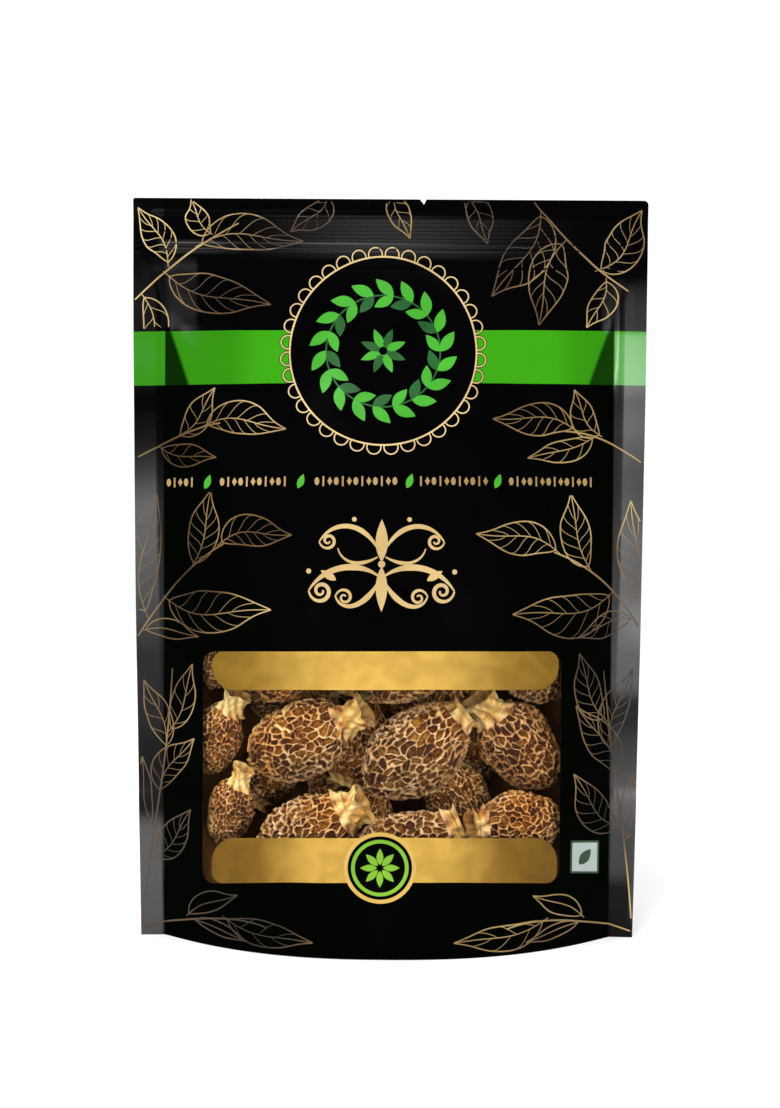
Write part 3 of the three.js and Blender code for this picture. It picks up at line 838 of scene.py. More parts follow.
def film_piece(name, side, holes, node):
    outline = film_outline()
    holes = [[tuple(p) for p in to_share(hole)] for hole in holes]
    loops = [outline, *holes]
    across, up = film_lines(side)
    points = np.array([(s, z) for s in across for z in up])
    inside = inside_loops(loops)
    rims = np.array([p for hole in holes for p in hole] + [p for p in outline if p[1] > HEIGHT - 3])
    flat, tris = triangulate(loops, away_from(rims, points[inside(points)], 0.45 * GRID), inside)
    u, z = flat[:, 0] / (WIDTH / 2), flat[:, 1]
    x = u * half_width(z)
    outer = outer_face(u, z, side)
    near, far = (np.c_[x, sway(u, z) + side * face, z] for face in (outer, outer - skin_at(u, z)))
    made, faces = close_slab(near, far, tris[:, ::-side])
    values = {
        # the fold value is painted shade towards the sides, on the front only
        "fold": np.tile(painted_side_shade(x) * (side == FRONT), 2),
        "shine": np.concatenate([shine_at(u, z, side), np.zeros_like(z)]),
        "inside": np.repeat([0.0, 1.0], len(z)),
    }
    return make_mesh(name, made, faces, [FILM_BANDED], "printed_film", [node], attributes=values)


def pane_piece():
    """The clear part of the film, flush in the window."""
    loop = window_loop(PANE_INSET)
    flat, tris = triangulate([loop], grid_inside([loop], GRID, 0.5 * GRID), inside_loops([loop]))
    x, z = flat.T
    near, far = (np.c_[x, film_y(x, z, -deep), z] for deep in PANE_FACES)
    return make_mesh("clear_window", *close_slab(near, far, tris), [CLEAR], "clear_film", ["window_pane"])


def gusset_piece():
    """The folded-up bottom, an arch between the feet of the two panels."""
    shares = np.linspace(-1, 1, 129)
    turn = np.linspace(0, np.pi, 61)
    side = np.minimum(np.abs(shares) / SEAL_FROM, 1)
    tops = GUSSET_MID_Z + (GUSSET_SEAL_Z - GUSSET_MID_Z) * side**2
    feet = outer_face(shares, np.zeros_like(shares), FRONT) - 1.5 * SKIN - 0.03
    power = np.where(np.abs(shares) < SEAL_FROM, GUSSET_PINCH, 1.0)
    points = []
    for offset in (SKIN / 2, -SKIN / 2):
        for u, foot, top, bend in zip(shares, feet, tops, power):
            wrinkle = 0.18 * np.sin(7 * u + 3 * turn) * np.sin(turn) ** 2 * (1 - abs(u) ** 6)
            z = (top + offset) * np.sin(turn) + wrinkle
            z[0] = z[-1] = 0
            y = -np.sign(np.cos(turn)) * (foot + offset) * np.abs(np.cos(turn)) ** bend
            points.append(np.c_[u * half_width(z) * 0.9995, y + sway(np.full_like(z, u), z), z])
    grid = np.arange(2 * len(shares) * len(turn)).reshape(2, len(shares), len(turn))
    faces = quads(grid[0]) + quads(grid[1].T)
    for edge in (grid[:, :, 0], grid[::-1, :, -1], grid[::-1, 0], grid[:, -1]):
        faces += quads(edge)
    half = len(shares) * len(turn)
    values = {
        "fold": np.zeros(2 * half),
        "shine": np.repeat([0.0, 0.05], half),
        "inside": np.repeat([1.0, 0.0], half),
    }
    points, node = np.vstack(points), "bottom_gusset"
    return make_mesh("gusset_fold", points, faces, [FILM_PLAIN], "gusset_film", [node], attributes=values)


film_piece("front_film", FRONT, [window_loop(0.0)], "front_panel")
film_piece("back_film", BACK, [], "back_panel")
pane_piece()
gusset_piece()
for node in ("zip_strip_front", "zip_strip_back"):
    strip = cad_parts[node]
    strip.data.materials.clear()
    strip.data.materials.append(PLASTIC)

# Print on the front

ART_X = -2.1  # middle of the print
RING_Z, RING_R, RING_TALL = 182.5, 28.8, 1.022
SCALLOPS = 36
BADGE_Z, BADGE_R = 27.7, 10.7
DASH_Z = 142.1
TILE = (61.0, 26.9, 4.9)
BACK_PANEL = (-52.0, 52.0, 34.0, 118.0)
STEM_LINE, RIM_LINE, MIDRIB_LINE, VEIN_LINE = 0.54, 0.4, 0.32, 0.19
# How far the leaf sprigs keep away from what else there is.
ROOM = {"edge": 0.5, "band": 0.3, "window": 0.8, "tile": 1.2, "ring": 4.4, "badge": 0.8, "panel": 1.5}
BEAD_BOX = (-68, 66, DASH_Z - 3.2, DASH_Z + 3.2)
SCROLL_BOX = (ART_X - 26, ART_X + 26, 99, 134)


def on_film(x, z):
    """Where leaf sprigs may lie at all: within the film's edge and off the green band."""
    within = (np.abs(x) < half_width(z) - ROOM["edge"]) & (z > 0.8) & (z < HEIGHT - ROOM["edge"])
    return within & ((z < BAND[0] - ROOM["band"]) | (z > BAND[1] + ROOM["band"]))


def outside(x, z, left, right, low, high, room=0.0):
    return (x < left - room) | (x > right + room) | (z < low - room) | (z > high + room)


def clear_of_print(line):
    """Where leaf sprigs may run on the front: clear of the ring, the window and the ornaments too."""
    x, z = line.T
    low, high = (levelled(np.c_[x, np.full_like(x, WINDOW[key])])[:, 1] for key in ("low", "high"))
    tile_x, tile_z, half = TILE
    ok = on_film(x, z) & outside(x, z, *BEAD_BOX) & outside(x, z, *SCROLL_BOX)
    ok &= outside(x, z, WINDOW["left"], WINDOW["right"], low, high, ROOM["window"])
    ok &= outside(x, z, tile_x - half, tile_x + half, tile_z - half, tile_z + half, ROOM["tile"])
    ok &= np.hypot(x - ART_X, (z - RING_Z) / RING_TALL) > RING_R + ROOM["ring"]
    return ok & (np.hypot(x - ART_X, z - BADGE_Z) > BADGE_R + ROOM["badge"])


def back_clear(line):
    """Where leaf sprigs may run on the back."""
    x, z = line.T
    return on_film(x, z) & outside(x, z, *BACK_PANEL, ROOM["panel"])


def leaf_lines(base, tip, wide, bend):
    """Outline, midrib and sweeping side veins of one leaf from base to tip, as (points, line width)."""
    t = np.linspace(0, 1, 72)
    last, stalk = len(t) - 1, 0.07
    base, tip = np.array(base, float), np.array(tip, float)
    long = float(np.hypot(*(tip - base)))
    along = (tip - base) / long
    across = np.array([-along[1], along[0]])
    sweep = bend * np.sin(np.pi * t) + 0.35 * bend * np.sin(2 * np.pi * t)
    spine = base + np.outer(long * t, along) + np.outer(sweep, across)
    slope = np.gradient(spine, axis=0)
    slope /= np.hypot(slope[:, 0], slope[:, 1])[:, None]
    normal = np.c_[-slope[:, 1], slope[:, 0]]
    share = np.clip((t - stalk) / (1 - stalk), 0, 1)
    veins = 0 if wide < 6.5 else 3 if wide < 8.5 else 5
    lines = []
    for k in (1, -1):
        wave = 1 + 0.05 * np.sin(8 * share + 2.1 * k + long)
        swell = np.sin(np.pi * share**0.78) ** 0.85 * wave * (1 - 0.45 * smooth(0.6, 1, share))
        rim = spine + k * normal * (wide / 2 * swell * (1 + 0.12 * k))[:, None]
        lines.append((rim[int(last * stalk):], RIM_LINE))
        for i in range(veins):
            at = stalk + 0.04 + 0.62 * (i + 0.15 + 0.3 * (k > 0)) / veins
            end = at + 0.19 + 0.02 * i / veins
            p0 = np.array([np.interp(at, t, column) for column in spine.T])
            p3 = np.array([np.interp(end, t, column) for column in rim.T])
            reach = float(np.hypot(*(p3 - p0)))
            i0, i3 = int(last * at), int(last * end)
            p1 = p0 + (0.3 * slope[i0] + 0.24 * k * normal[i0]) * reach
            p2 = p3 - (0.36 * slope[i3] + 0.04 * k * normal[i3]) * reach
            lines.append((bezier(p0, p1, p2, p3, 18), VEIN_LINE))
    lines.append((spine, MIDRIB_LINE))
    return lines


# Stems of the leaf art, each by four control points.
STEMS = [
    ((-80, 198), (-72, 206), (-62, 214), (-47, 222)),
    ((44, 230), (50, 222), (58, 212), (74, 202)),
    ((-80, 149), (-70, 154), (-60, 159), (-52, 160)),
    ((80, 148), (70, 155), (62, 158), (54, 158)),
    ((-80, 91), (-73, 103), (-63, 116), (-50, 123)),
    ((80, 94), (74, 107), (64, 116), (50, 121)),
    ((-77, -2), (-75, 28), (-69, 52), (-67, 84)),
    ((77, -2), (76, 26), (71, 48), (67, 84)),
    ((-81, 0.5), (-64, 6), (-48, 12), (-36, 8)),
    ((81, 0.5), (64, 6), (48, 12), (36, 8)),
]

# Its leaves: base, tip, width and bend.
LEAVES = [
    ((-70.5, 207.3), (-37, 197), 12, -3), ((-60.5, 214.5), (-27, 216.5), 11, 3),
    ((-77.5, 200.5), (-73, 178), 8, 2),
    ((-69, 208.5), (-78.5, 227), 9, -2), ((-55, 218.4), (-62, 229.5), 7, 1.2),
    ((-19, 231.5), (-31, 219.5), 8, 1.5), ((1, 233), (6, 217.5), 7, -1.2), ((22, 232), (30, 216), 8, 1.5),
    ((46.5, 227), (31.5, 200), 13, 3), ((54.5, 217.5), (46, 191), 12, -2.5), ((63.5, 208), (78, 227), 12, -3),
    ((67, 206), (61, 190.5), 8, 1.5),
    ((-58, 158.8), (-31.5, 158), 10, 2.5), ((-66, 155.8), (-54, 171), 8, -1.8),
    ((-72, 153), (-53, 149.3), 7, -1.5), ((58, 158), (31.5, 161.5), 10, -2.5),
    ((66, 156.6), (57, 171), 8, 1.8), ((64, 157), (42, 149.5), 7, 1.2),
    ((-75, 99), (-72.5, 138), 13, 3.5), ((-60.7, 115.5), (-54.5, 139.3), 10, -1.5),
    ((-52, 122.4), (-29, 125.8), 9.5, 2.5),
    ((-70.5, 106.5), (-35, 103.5), 13, -3.5), ((-77, 95.5), (-58, 94.5), 6, 1),
    ((75, 104), (75.5, 137), 12, -3), ((62.3, 115.2), (55.5, 139), 10, 1.5),
    ((52, 120.4), (26, 126.5), 10, -2.5),
    ((70.5, 109), (37, 102.5), 13, 3.5), ((77, 100), (58, 94.8), 7, -1.2),
    ((-74.5, 24), (-60.5, 41), 9, -2), ((-71.5, 44), (-59.5, 63), 9, 2), ((-68.5, 64), (-60, 86), 8, -1.5),
    ((-73.5, 34), (-77, 56), 6, 1.2), ((-69.5, 58), (-76.5, 80), 8, -1.8),
    ((74, 34), (57, 53), 10, 2.4), ((71.5, 50), (57.5, 74), 10, -2.4), ((68.5, 68), (58.5, 90), 9, 1.8),
    ((74.5, 30), (76.5, 52), 6, -1.2), ((70, 58), (76.5, 84), 9, 2.2),
    ((-62, 7.6), (-45, 17), 6, 1.2), ((-50, 9.8), (-22, 4.5), 8, -1.8), ((-60, 7), (-42, 3), 4, 0.5),
    ((61, 8), (44, 17.4), 6, -1.2), ((49, 10), (20, 4.8), 8, 1.8), ((60, 7), (42, 3.2), 4, -0.5),
]


def sprig_parts(keep, side=FRONT, pitch=0.8):
    parts = []

    def draw(line, width, lift):
        for run in runs_of(resample(line, pitch), keep):
            taper = 0.6 + 0.4 * np.sin(np.pi * np.linspace(0.06, 0.94, len(run))) ** 0.5
            parts.append(ribbon_parts(run, width * taper, lift, side=side))

    for stem in STEMS:
        draw(bezier(*stem), STEM_LINE, 0.075)
    for leaf in LEAVES:
        for points, width in leaf_lines(*leaf):
            draw(points, width, 0.045 if width == VEIN_LINE else 0.06)
    return parts


def ring_parts():
    """The medallion's gold ring with its edging of small loops, each with a thin dark edge."""
    ring = closed(circle(ART_X, RING_Z, RING_R, RING_R * RING_TALL, 180))
    parts = [ribbon_parts(ring, 0.95, 0.085, 1), ribbon_parts(ring, 0.52, 0.125)]
    for i in range(SCALLOPS):
        turn = 360 * (i + 0.5) / SCALLOPS
        middle = polar(ART_X, RING_Z, RING_R + 0.75, turn, RING_TALL)
        loop = arc(*middle, 2.12, 2.12, turn - 108, turn + 108, 22)
        parts += [ribbon_parts(loop, 0.8, 0.07, 1), ribbon_parts(loop, 0.38, 0.11)]
    return parts


def leaf_loop(base, angle, long, wide, bend=0.0):
    """A filled leaf's outline."""
    t = np.linspace(0, 1, 22)
    along, across = (np.array(polar(0, 0, 1, turn)) for turn in (angle, angle + 90))
    spine = np.array(base) + np.outer(t, along) * long + np.outer(bend * t**2, across)
    half = wide / 2 * np.sin(np.pi * t**0.9) ** 0.9
    up, down = spine + half[:, None] * across, spine - half[:, None] * across
    return np.vstack([up[:-1], down[:0:-1]])[::-1]


def leaf_blot(base, angle, long, wide, lift, ink=0, bend=0.0, pitch=0.9):
    return patch_parts([leaf_loop(base, angle, long, wide, bend)], lift, pitch, ink)


def dot(x, z, r, lift, ink=0, count=20):
    return patch_parts([circle(x, z, r, count=count)], lift, 0.8, ink)


def motif_parts():
    """A generic wreath inside the ring: pairs of small leaves along a circle, round a star of eight."""
    reach, count = 17.6, 18
    parts = [ribbon_parts(closed(circle(ART_X, RING_Z, reach, count=120)), 0.5, 0.10, 1)]
    for i in range(count):
        turn = 360 * i / count
        foot = polar(ART_X, RING_Z, reach, turn)
        parts.append(leaf_blot(foot, turn + 52, 7.6, 3.5, 0.12, 0, 0.5, 1.1))
        parts.append(leaf_blot(foot, turn + 134, 6.8, 3.2, 0.14, i % 2, -0.4, 1.1))
    for i in range(8):
        parts.append(leaf_blot((ART_X, RING_Z), 45 * i + 22.5, 7.4, 2.7, 0.12, i % 2, pitch=1.0))
    return [*parts, dot(ART_X, RING_Z, 1.3, 0.16, 2)]


def badge_parts():
    """A round gold badge with a dark disc, a green ring and a star of leaves."""
    parts = []
    for ink, radii in enumerate([(BADGE_R,), (9.5,), (8.5, 7.4)]):
        parts.append(patch_parts([circle(ART_X, BADGE_Z, r) for r in radii], 0.10 + 0.04 * ink, ink=ink))
    for turn in range(0, 360, 45):
        parts.append(leaf_blot(polar(ART_X, BADGE_Z, 0.9, turn), turn, 4.9, 2.0, 0.18, 2))
    return parts


def banner_loops():
    sides = (-53.4, 51.7)
    top = rounded(*sides, 80.45, WINDOW["high"] - 0.1, [7.0, 7.0, 3.4, 3.4])
    low = rounded(*sides, WINDOW["low"] + 0.1, 36.7, [3.4, 3.4, 7.0, 7.0])
    return [levelled(spaced(loop, 1.25)) for loop in (top, low)]


def bead_parts():
    """The row of small gold beads with green leaves between its groups."""
    leaves = [-55.5, -26.5, 6.2, 32.8]
    parts = []
    for step, x in enumerate(np.arange(-68.5, 63.8, 1.95)):
        if min(abs(x - at) for at in leaves) < 3.3:
            continue
        z = DASH_Z + LEVEL["tilt"] * x
        bar = [(x - 0.26, z - 1.5), (x + 0.26, z - 1.5), (x + 0.26, z + 1.5), (x - 0.26, z + 1.5)]
        diamond = [(x, z - 1.3), (x + 0.75, z), (x, z + 1.3), (x - 0.75, z)]
        parts.append(patch_parts([(circle(x, z, 0.72, 1.2, 16), bar, diamond)[step % 3]], 0.07, 1.0))
    for at in leaves:
        parts.append(leaf_blot((at - 1.0, DASH_Z - 2.1 + LEVEL["tilt"] * at), 62, 4.6, 2.1, 0.08, 1, 0.5))
    return parts


# The scroll ornament's right half, from the print's middle: curves by four control points and the count of
# points on them, and spirals by centre, radii, start and turn. Each ends with its widths along the way.
CURVES = [
    (((0.9, 121.5), (6, 131), (15, 130), (18.5, 124)), 50, [0.5, 1.5, 1.3, 0.4]),
    (((1.2, 119.5), (7, 116), (12, 118), (13, 122)), 40, [0.4, 1.1, 0.7, 0.3]),
    (((0.8, 113.8), (7, 118.5), (17, 117), (21.5, 109.5)), 50, [0.5, 1.9, 1.6, 0.4]),
    (((0.8, 112.4), (5, 104), (12, 103), (13.6, 108)), 50, [0.5, 1.7, 1.2, 0.4]),
]
SPIRALS = [
    ((15.9, 124.2, 2.7, 0.5, -6, -520), [0.4, 0.9, 0.9, 0.5]),
    ((17.9, 109.4, 3.6, 0.6, 0, -560), [0.5, 1.2, 1.1, 0.6]),
    ((10.9, 107.6, 2.7, 0.5, 6, 500), [0.4, 0.9, 0.8, 0.5]),
]


def spiral(cx, cz, r0, r1, start, turn):
    t = np.linspace(0, 1, 60)
    a = np.radians(start + turn * t)
    r = r0 + (r1 - r0) * t**0.8
    return np.c_[cx + r * np.cos(a), cz + r * np.sin(a)]


def flourish_parts():
    """A gold scroll ornament of two tiers, mirrored about the print's middle."""
    lines = [(bezier(*points, count), widths) for points, count, widths in CURVES]
    lines += [(spiral(*form), widths) for form, widths in SPIRALS]
    parts = []
    for m in (1, -1):
        for points, widths in lines:
            line = resample(np.c_[ART_X + m * points[:, 0], points[:, 1]], 0.5)
            t, at = np.linspace(0, 1, len(line)), np.linspace(0, 1, len(widths))
            parts.append(ribbon_parts(line, np.interp(t, at, widths), 0.08))
        parts.append(dot(ART_X + m * 21.6, 115.2, 0.75, 0.08, count=16))
        parts.append(dot(ART_X + m * 8.2, 130.6, 0.7, 0.08, count=16))
        parts.append(leaf_blot((ART_X + m * 13.4, 112.6), 90 - m * 58, 5.4, 2.2, 0.09))
    parts.append(leaf_blot((ART_X, 118.2), 90, 12.4, 3.6, 0.09))
    parts.append(leaf_blot((ART_X, 116.6), -90, 13.2, 3.4, 0.09))
    return [*parts, dot(ART_X, 117.4, 1.05, 0.12)]


def tile_parts():
    """A pale square tile with a green rim and one leaf."""
    x, z, half = TILE
    side = (x / LEVEL["half"]) ** BULGE_SHAPE
    z = (z - LEVEL["tilt"] * x + LEVEL["share"] * LEVEL["eye"] * side) / (1 + LEVEL["share"] * side)
    parts = []
    for h, r, lift, ink in ((half, 0.5, 0.09, 1), (half - 0.6, 0.4, 0.15, 0)):
        rim = rounded(x - h, x + h, z - h, z + h, [r] * 4)
        parts.append(patch_parts([levelled(spaced(rim, 0.8))], lift, 0.8, ink))
    return [*parts, patch_parts([levelled(leaf_loop((x - 1.9, z - 2.2), 49, 6.0, 3.1))], 0.21, 0.9, 1)]


def back_frame_parts():
    """A bare panel with a double gold edge, where a real bag has its table of contents."""
    left, right, low, high = BACK_PANEL
    parts = []
    for inset, radius, width, lift in ((0, 4.0, 0.7, 0.07), (1.6, 2.8, 0.3, 0.06)):
        loop = rounded(left + inset, right - inset, low + inset, high - inset, [radius] * 4)
        parts.append(ribbon_parts(resample(closed(loop), 1.0), width, lift, side=BACK))
    return parts


def print_piece(name, parts, materials):
    points, faces, picks = join_parts(parts)
    return make_mesh(name, points, faces, materials, "printed_film", picks=picks)


top_banner, low_banner = banner_loops()
print_piece("print_leaf_sprigs_front", sprig_parts(clear_of_print), [GOLD_LINE])
disc = circle(ART_X, RING_Z, RING_R - 0.1, (RING_R - 0.1) * RING_TALL)
print_piece("print_medallion_disc", [patch_parts([disc], 0.06)], [BLACK_PRINT])
print_piece("print_medallion_ring", ring_parts(), [GOLD_RING, BLACK_PRINT])
print_piece("print_medallion_plant", motif_parts(), [GREEN_BRIGHT, GREEN_DARK, BLACK_PRINT])
print_piece("print_bead_row", bead_parts(), [GOLD_BEADS, GREEN_BRIGHT])
print_piece("print_scroll_ornament", flourish_parts(), [GOLD_PALE])
print_piece("print_banner_top", [patch_parts([top_banner], 0.05)], [GOLD_TOP])
print_piece("print_banner_low", [patch_parts([low_banner], 0.05)], [GOLD_LOW])
print_piece("print_badge", badge_parts(), [GOLD_BADGE, BLACK_PRINT, GREEN_LIME])
print_piece("print_leaf_tile", tile_parts(), [PALE_PRINT, GREEN_DEEP])

# Print on the back, which is plain and generic

print_piece("print_leaf_sprigs_back", sprig_parts(back_clear, BACK, 1.4), [GOLD_LINE])
print_piece("print_frame_back", back_frame_parts(), [GOLD_PALE])

# Morels

PIT = 1.8  # depth of the pits
PIT_WIDE = 2.0  # pitch of the pits round the cap
PIT_TALL = 3.0  # and along it
RIDGE_HALF = 0.09
FRONT_MESH, MIDDLE_MESH, REAR_MESH = (150, 160), (96, 84), (80, 60)


def cap_half(v):
    wide = 0.36
    below = CAP_HALF * (1 - 0.38 * (np.clip((wide - v) / wide, 0, 1)) ** 2)
    over = np.clip((v - wide) / (1 - wide), 0, 1)
    above = CAP_HALF * np.clip(np.cos(np.pi / 2 * over**1.7), 0, 1) ** 0.8
    return np.where(v < wide, below, above)


def wander(points, seed, size):
    """A smooth repeatable value from about -1 to 1 at each point, of a given wave length."""
    draw = np.random.default_rng(seed)
    total = 0
    for _ in range(5):
        way = draw.normal(size=3)
        way *= 2 * math.pi / (size * np.linalg.norm(way)) * draw.uniform(0.7, 1.4)
        total = total + np.sin(points @ way + draw.uniform(0, 2 * math.pi))
    return total / 3


def scattered(values):
    """A value from 0 to 1 for each number, as if drawn by chance."""
    made = np.sin(values) * 43758.5453
    return made - np.floor(made)


def morel_points(seed, stem_long, around, rows):
    """Rings of points from the hollow of the stem to the tip, with their ridge, stem and pit values."""
    draw = np.random.default_rng(seed + 400)
    a = np.linspace(0, 2 * math.pi, around, endpoint=False)
    a = a - 0.6 * np.cos(a)  # closer together on the side that faces the panel
    cap_rows = int(rows * 0.76)
    v = np.linspace(0, 1, cap_rows + 1)[:-1] ** 0.94
    angle, level = np.meshgrid(a, v)
    shrunk = 1 + 0.05 * np.sin(3 * angle + seed) + 0.04 * np.sin(2 * angle + 7 * level + 2 * seed)
    r = cap_half(level) * shrunk
    cap = np.stack([r * np.cos(angle), CAP_FLAT * r * np.sin(angle), CAP_LONG * level], axis=-1)
    across = np.roll(cap, -1, axis=1) - np.roll(cap, 1, axis=1)
    upward = np.gradient(cap, axis=0)
    normal = np.cross(across, upward)
    normal /= np.maximum(np.linalg.norm(normal, axis=-1), 1e-9)[..., None]

    # Pits: cells round scattered seeds, stretched along the cap.
    seeds = []
    levels = max(6, int(CAP_LONG * 1.1 / PIT_TALL))
    for i in range(levels + 1):
        height = (i + 0.35) / (levels + 0.6)
        girth = 2 * math.pi * float(cap_half(np.array(height))) * 0.9
        count = max(3, int(round(girth / PIT_WIDE)))
        for k in range(count):
            turn = 2 * math.pi * (k + 0.5 * (i % 2) + 0.4 * draw.uniform(-1, 1)) / count
            up = np.clip(height + 0.42 * draw.uniform(-1, 1) / levels, 0.005, 0.995)
            rr = float(cap_half(np.array(up)))
            seeds.append((rr * math.cos(turn), CAP_FLAT * rr * math.sin(turn), CAP_LONG * up))
    seeds = np.array(seeds)
    flat = cap.reshape(-1, 3)
    warped = flat + 0.75 * np.stack([wander(flat, seed * 7 + k, 6.5) for k in range(3)], axis=-1)
    warped = warped + 0.2 * np.stack([wander(flat, seed * 11 + k, 2.4) for k in range(3)], axis=-1)
    squeeze = np.array([1, 1, PIT_WIDE / PIT_TALL])
    seeds = seeds * squeeze
    away = np.linalg.norm((warped * squeeze)[:, None] - seeds[None], axis=-1)
    order = np.argsort(away, axis=1)[:, :3]
    near = np.take_along_axis(away, order, axis=1)
    first, second = order[:, 0], order[:, 1]
    between = np.linalg.norm(seeds[first] - seeds[second], axis=-1)
    edge = (near[:, 1] ** 2 - near[:, 0] ** 2) / (2 * np.maximum(between, 0.3))
    pair = scattered((first + second) * 12.9898 + (first * second) * 0.37)
    corner = 1 - smooth(0.1, 0.9, near[:, 2] - near[:, 0])
    crest = np.clip(0.5 + 0.5 * pair + 0.35 * corner, 0, 1)
    steep = np.clip(1 - (edge - RIDGE_HALF) / 0.56, 0, 1) ** 1.7
    ridge = np.where(edge < RIDGE_HALF, 1.0, steep) * crest
    cell = scattered(first * 78.233 + seed)
    floor = PIT * (0.62 + 0.38 * cell)
    sink = floor * (1 - ridge) - 0.2 * smooth(0.8, 1.8, edge) * floor
    rim = plateau(0.0, 0.05, 0.965, 1.0, level.reshape(-1))
    dents = 0.9 * np.clip(wander(flat, seed * 5 + 3, 17.0), 0, 1)
    dents += 0.35 * np.clip(wander(flat, seed + 91, 7.0), 0, 1)
    sink = sink * (0.25 + 0.75 * rim) + dents * rim
    cap = (flat - normal.reshape(-1, 3) * sink[:, None]).reshape(cap.shape)
    fine = 0.12 * wander(flat, seed + 17, 1.6).reshape(level.shape)
    value = np.clip(ridge.reshape(level.shape) ** 1.2 + fine, 0, 1)
    pits = np.clip(0.1 + 0.8 * cell.reshape(level.shape) ** 1.3 + 1.5 * fine, 0, 1)

    # Underside, stem and hollow: rings down to the cut end and back up inside it.
    path = [
        (6.2, -0.1, 0.9), (5.5, -0.7, 0.86), (5.0, -1.5, 0.84), (4.5, -2.8, 0.83),
        (4.3, 0.34, 0), (4.2, 0.44, 0), (4.15, 0.52, 0), (4.2, 0.6, 0), (4.4, 0.68, 0), (4.7, 0.76, 0),
        (5.05, 0.84, 0), (5.4, 0.91, 0), (5.65, 0.97, 0), (5.6, 1.0, 0), (5.2, 0.99, 0), (4.6, 0.93, 0),
        (3.9, 0.85, 0), (3.2, 0.72, 0), (2.4, 0.55, 0), (1.4, 0.42, 0),
    ]
    stem_rows = max(24, rows - cap_rows)
    knots = np.array([(p[0], p[1] if p[2] else -p[1] * stem_long) for p in path])
    place = np.linspace(0, 1, len(knots))
    want = np.linspace(0, 1, stem_rows)
    radius = np.interp(want, place, knots[:, 0])
    height = np.interp(want, place, knots[:, 1])
    angle, radius = np.meshgrid(a, radius)
    height, down = (np.meshgrid(a, values)[1] for values in (height, want))
    lobes = 1 + 0.16 * np.sin(2 * angle + seed) + 0.13 * np.sin(3 * angle + height * 0.35 + seed * 1.3)
    lobes += 0.08 * np.sin(7 * angle + height * 0.9 + seed * 2.1) + 0.035 * np.sin(13 * angle - height * 1.4)
    lobes += 0.09 * np.sin(5 * angle - 0.8 * height + seed) * np.sin(0.9 * height + seed)
    low = smooth(0.55, 1.0, -height / stem_long)
    torn = 1.5 * np.sin(2 * angle + seed * 3.1) + np.sin(5 * angle + seed)
    torn += 0.5 * np.sin(11 * angle + 2 * seed)
    level = np.maximum(height + 0.35 * low * (torn - 1.6), -stem_long - 0.3)
    reach = radius * lobes
    stem = np.stack([reach * np.cos(angle), 0.82 * reach * np.sin(angle), level], axis=-1)
    crease = 0.5 + 0.5 * np.sin(7 * angle + height * 0.9 + seed * 2.1)
    # painted shade: the stem is darker in its furrows and down into its hollow
    tone = np.clip(0.42 + 0.75 * crease, 0, 1)
    tone *= 1 - 0.75 * smooth(0.62, 1.0, down)
    points = np.concatenate([stem[::-1], cap])
    ridge_and_stem_shade = np.concatenate([tone[::-1], value])
    blend = smooth(0.0, 0.16, down)
    stem_all = np.concatenate([blend[::-1], np.zeros_like(value)])
    pit_all = np.concatenate([np.full_like(tone, 0.4), pits])
    return points, ridge_and_stem_shade, stem_all, pit_all


def morel_place(side, x, z, lean, lift, scale):
    """The matrix, in millimetres, that lays a morel against a panel."""

    def depth_at(px, pz):
        return float(inner_face(np.array(px / half_width(pz)), np.array(float(pz))))

    slope_x = (depth_at(x + SLOPE_STEP, z) - depth_at(x - SLOPE_STEP, z)) / (2 * SLOPE_STEP)
    slope_z = (depth_at(x, z + SLOPE_STEP) - depth_at(x, z - SLOPE_STEP)) / (2 * SLOPE_STEP)
    out = np.array([-slope_x, side, -slope_z])
    out /= np.linalg.norm(out)
    turn = math.radians(lean)
    tip = np.array([math.sin(turn), 0, math.cos(turn)])
    tip = tip - out * (tip @ out)
    tip /= np.linalg.norm(tip)
    depth = out * side
    point = np.array([x, side * depth_at(x, z), z])
    middle = point - out * (PANE_FILM + GAP + LIE_OFF + lift + CAP_HALF * CAP_FLAT * scale)
    basis = np.c_[np.cross(depth, tip), depth, tip]
    return basis * scale, middle - tip * 0.45 * CAP_LONG * scale


def morel_piece(name, node, seed, side, place, mesh_size, tone, light):
    x, z, lean, lift, scale, stem = place
    around = mesh_size[0]
    points, *values = morel_points(seed, STEM_LONG * stem, *mesh_size)
    turn, origin = morel_place(side, x, z, lean, lift, scale)
    if side == BACK:
        points = (points * np.array([1, -1, 1]))[:, ::-1]  # the finely meshed side faces the back panel
        values = [value[:, ::-1] for value in values]
    ridge, stemness, pits = (value.reshape(-1) for value in values)
    flat = points.reshape(-1, 3)
    grid = np.arange(len(flat)).reshape(-1, around)
    grid = np.c_[grid, grid[:, :1]]
    tip_point, hollow_point = len(flat), len(flat) + 1
    faces = quads(grid.T)
    faces += [(a, b, tip_point) for a, b in zip(grid[-1], grid[-1, 1:])]
    faces += [(b, a, hollow_point) for a, b in zip(grid[0], grid[0, 1:])]
    hollow = flat[:around].mean(axis=0) + (0, 0, 0.4)
    flat = np.vstack([flat, (0, 0, CAP_LONG - 0.2), hollow]) @ turn.T + origin
    height = flat[:, 2] - flat[:, 2].mean()
    shade = 0.7 + 0.34 * smooth(-0.9, 0.7, height / (CAP_HALF * scale))  # painted shade: the underside is darker
    values = {
        "ridge": [*ridge, 0.9, 0.1],
        "stem": [*stemness, 0, 1],
        "pit": [*pits, 0.5, 0.2],
        "tone": np.full(len(flat), tone),
        # painted light and shade on the morel
        "light": light * shade,
    }
    return make_mesh(name, flat, faces, [MOREL], "dried_morel", [node], sharp=180, attributes=values)


TONES = [0.0, 0.1, 0.8, 0.15, 0.0, 0.9, 0.3, 0.1, 0.8]
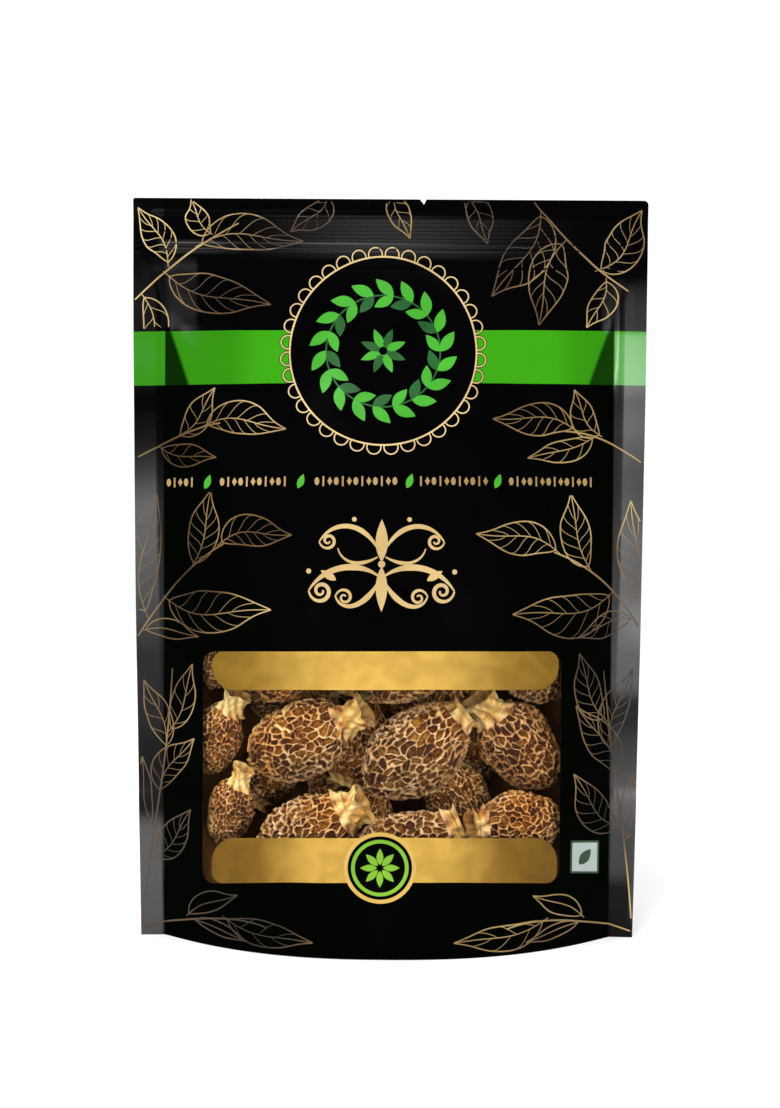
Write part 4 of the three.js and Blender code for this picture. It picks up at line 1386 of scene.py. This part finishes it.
# Factors on each morel's colour, a painted light: the middle and rear layers, deep in the bag, are made
# lighter.
LIGHTS = [1.03, 0.98, 1.08, 1.08, 1.0, 1.08, 1.08, 1.03, 1.08]
DEEP_TONE, SIDE_LIGHT, MIDDLE_LIGHT, REAR_LIGHT = 0.3, 1.08, 1.4, 1.35
for i, place in enumerate(FRONT_LAYER, 1):
    names = f"morel_near_{i}", f"morel_front_{i}"
    morel_piece(*names, i, FRONT, place, FRONT_MESH, TONES[i - 1], LIGHTS[i - 1])
for i, place in enumerate(MIDDLE_LAYER, 1):
    names = f"morel_between_{i}", f"morel_middle_{i}"
    light = SIDE_LIGHT if place[0] < -50 else MIDDLE_LIGHT
    morel_piece(*names, i + 10, FRONT, place, MIDDLE_MESH, DEEP_TONE, light)
for i, place in enumerate(REAR_LAYER, 1):
    names = f"morel_far_{i}", f"morel_rear_{i}"
    morel_piece(*names, i + 20, BACK, place, REAR_MESH, DEEP_TONE, REAR_LIGHT)

# Floor, light and camera

FLOOR_HALF = 4.0
floor_mesh = bpy.data.meshes.new("floor")
corners = [(x * FLOOR_HALF, y * FLOOR_HALF, 0) for x, y in ((-1, -1), (1, -1), (1, 1), (-1, 1))]
floor_mesh.from_pydata(corners, [], [(0, 1, 2, 3)])
floor_mesh.materials.append(floor_material("floor_pale"))
floor = bpy.data.objects.new("floor", floor_mesh)
bpy.context.scene.collection.objects.link(floor)

WORLD_LIGHT, GLOSSY_CUT = 1.1, 0.97
LAMP_AIM_Z = 0.115
world = bpy.data.worlds.new("studio")
bpy.context.scene.world = world
world.use_nodes = True
nodes, links = world.node_tree.nodes, world.node_tree.links
nodes.clear()
sky = nodes.new("ShaderNodeBackground")
sky.inputs["Color"].default_value = (1, 1, 1, 1)
path = nodes.new("ShaderNodeLightPath")
dim = nodes.new("ShaderNodeMath")
dim.operation = "MULTIPLY_ADD"
dim.inputs[1].default_value = -GLOSSY_CUT * WORLD_LIGHT
dim.inputs[2].default_value = WORLD_LIGHT
links.new(path.outputs["Is Glossy Ray"], dim.inputs[0])
links.new(dim.outputs[0], sky.inputs["Strength"])
links.new(sky.outputs[0], nodes.new("ShaderNodeOutputWorld").inputs["Surface"])


def soft_box(name, azimuth, elevation, distance, wide, tall, watts):
    """A rectangular light that faces the bag. Azimuth 0 is in front, 90 to the right."""
    a, e = math.radians(azimuth), math.radians(elevation)
    back = Vector((math.sin(a) * math.cos(e), -math.cos(a) * math.cos(e), math.sin(e)))
    data = bpy.data.lights.new(name, "AREA")
    data.shape = "RECTANGLE"
    data.size, data.size_y, data.energy = wide, tall, watts
    lamp = bpy.data.objects.new(name, data)
    lamp.location = Vector((0, 0, LAMP_AIM_Z)) + back * distance
    lamp.rotation_euler = back.to_track_quat("Z", "Y").to_euler()
    lamp.visible_camera = False
    bpy.context.scene.collection.objects.link(lamp)


soft_box("key_light", -28, 58, 0.9, 0.4, 0.4, 4.5)
soft_box("header_light", 2, 19, 1.0, 0.30, 0.10, 0.5)
soft_box("side_light_left", -21, 4.5, 1.0, 0.24, 0.30, 1.2)
soft_box("side_light_right", 21, 4.5, 1.0, 0.24, 0.30, 1.5)

CAMERA = {"elevation": 1.35, "distance": 0.42, "lens": 43.65, "roll": 0.33, "aim": (0.00036, 0, 0.11985)}
elevation, roll = math.radians(CAMERA["elevation"]), math.radians(CAMERA["roll"])
behind = Vector((0, -math.cos(elevation), math.sin(elevation)))
camera_data = bpy.data.cameras.new("camera")
camera_data.lens = CAMERA["lens"]
camera_data.sensor_width = 36
camera_data.clip_start = 0.01
camera = bpy.data.objects.new("camera", camera_data)
turn = behind.to_track_quat("Z", "Y").to_matrix() @ Matrix.Rotation(roll, 3, "Z")
camera.matrix_world = Matrix.Translation(Vector(CAMERA["aim"]) + behind * CAMERA["distance"]) @ turn.to_4x4()
bpy.context.scene.collection.objects.link(camera)
bpy.context.scene.camera = camera
bpy.context.scene.view_settings.view_transform = "Standard"
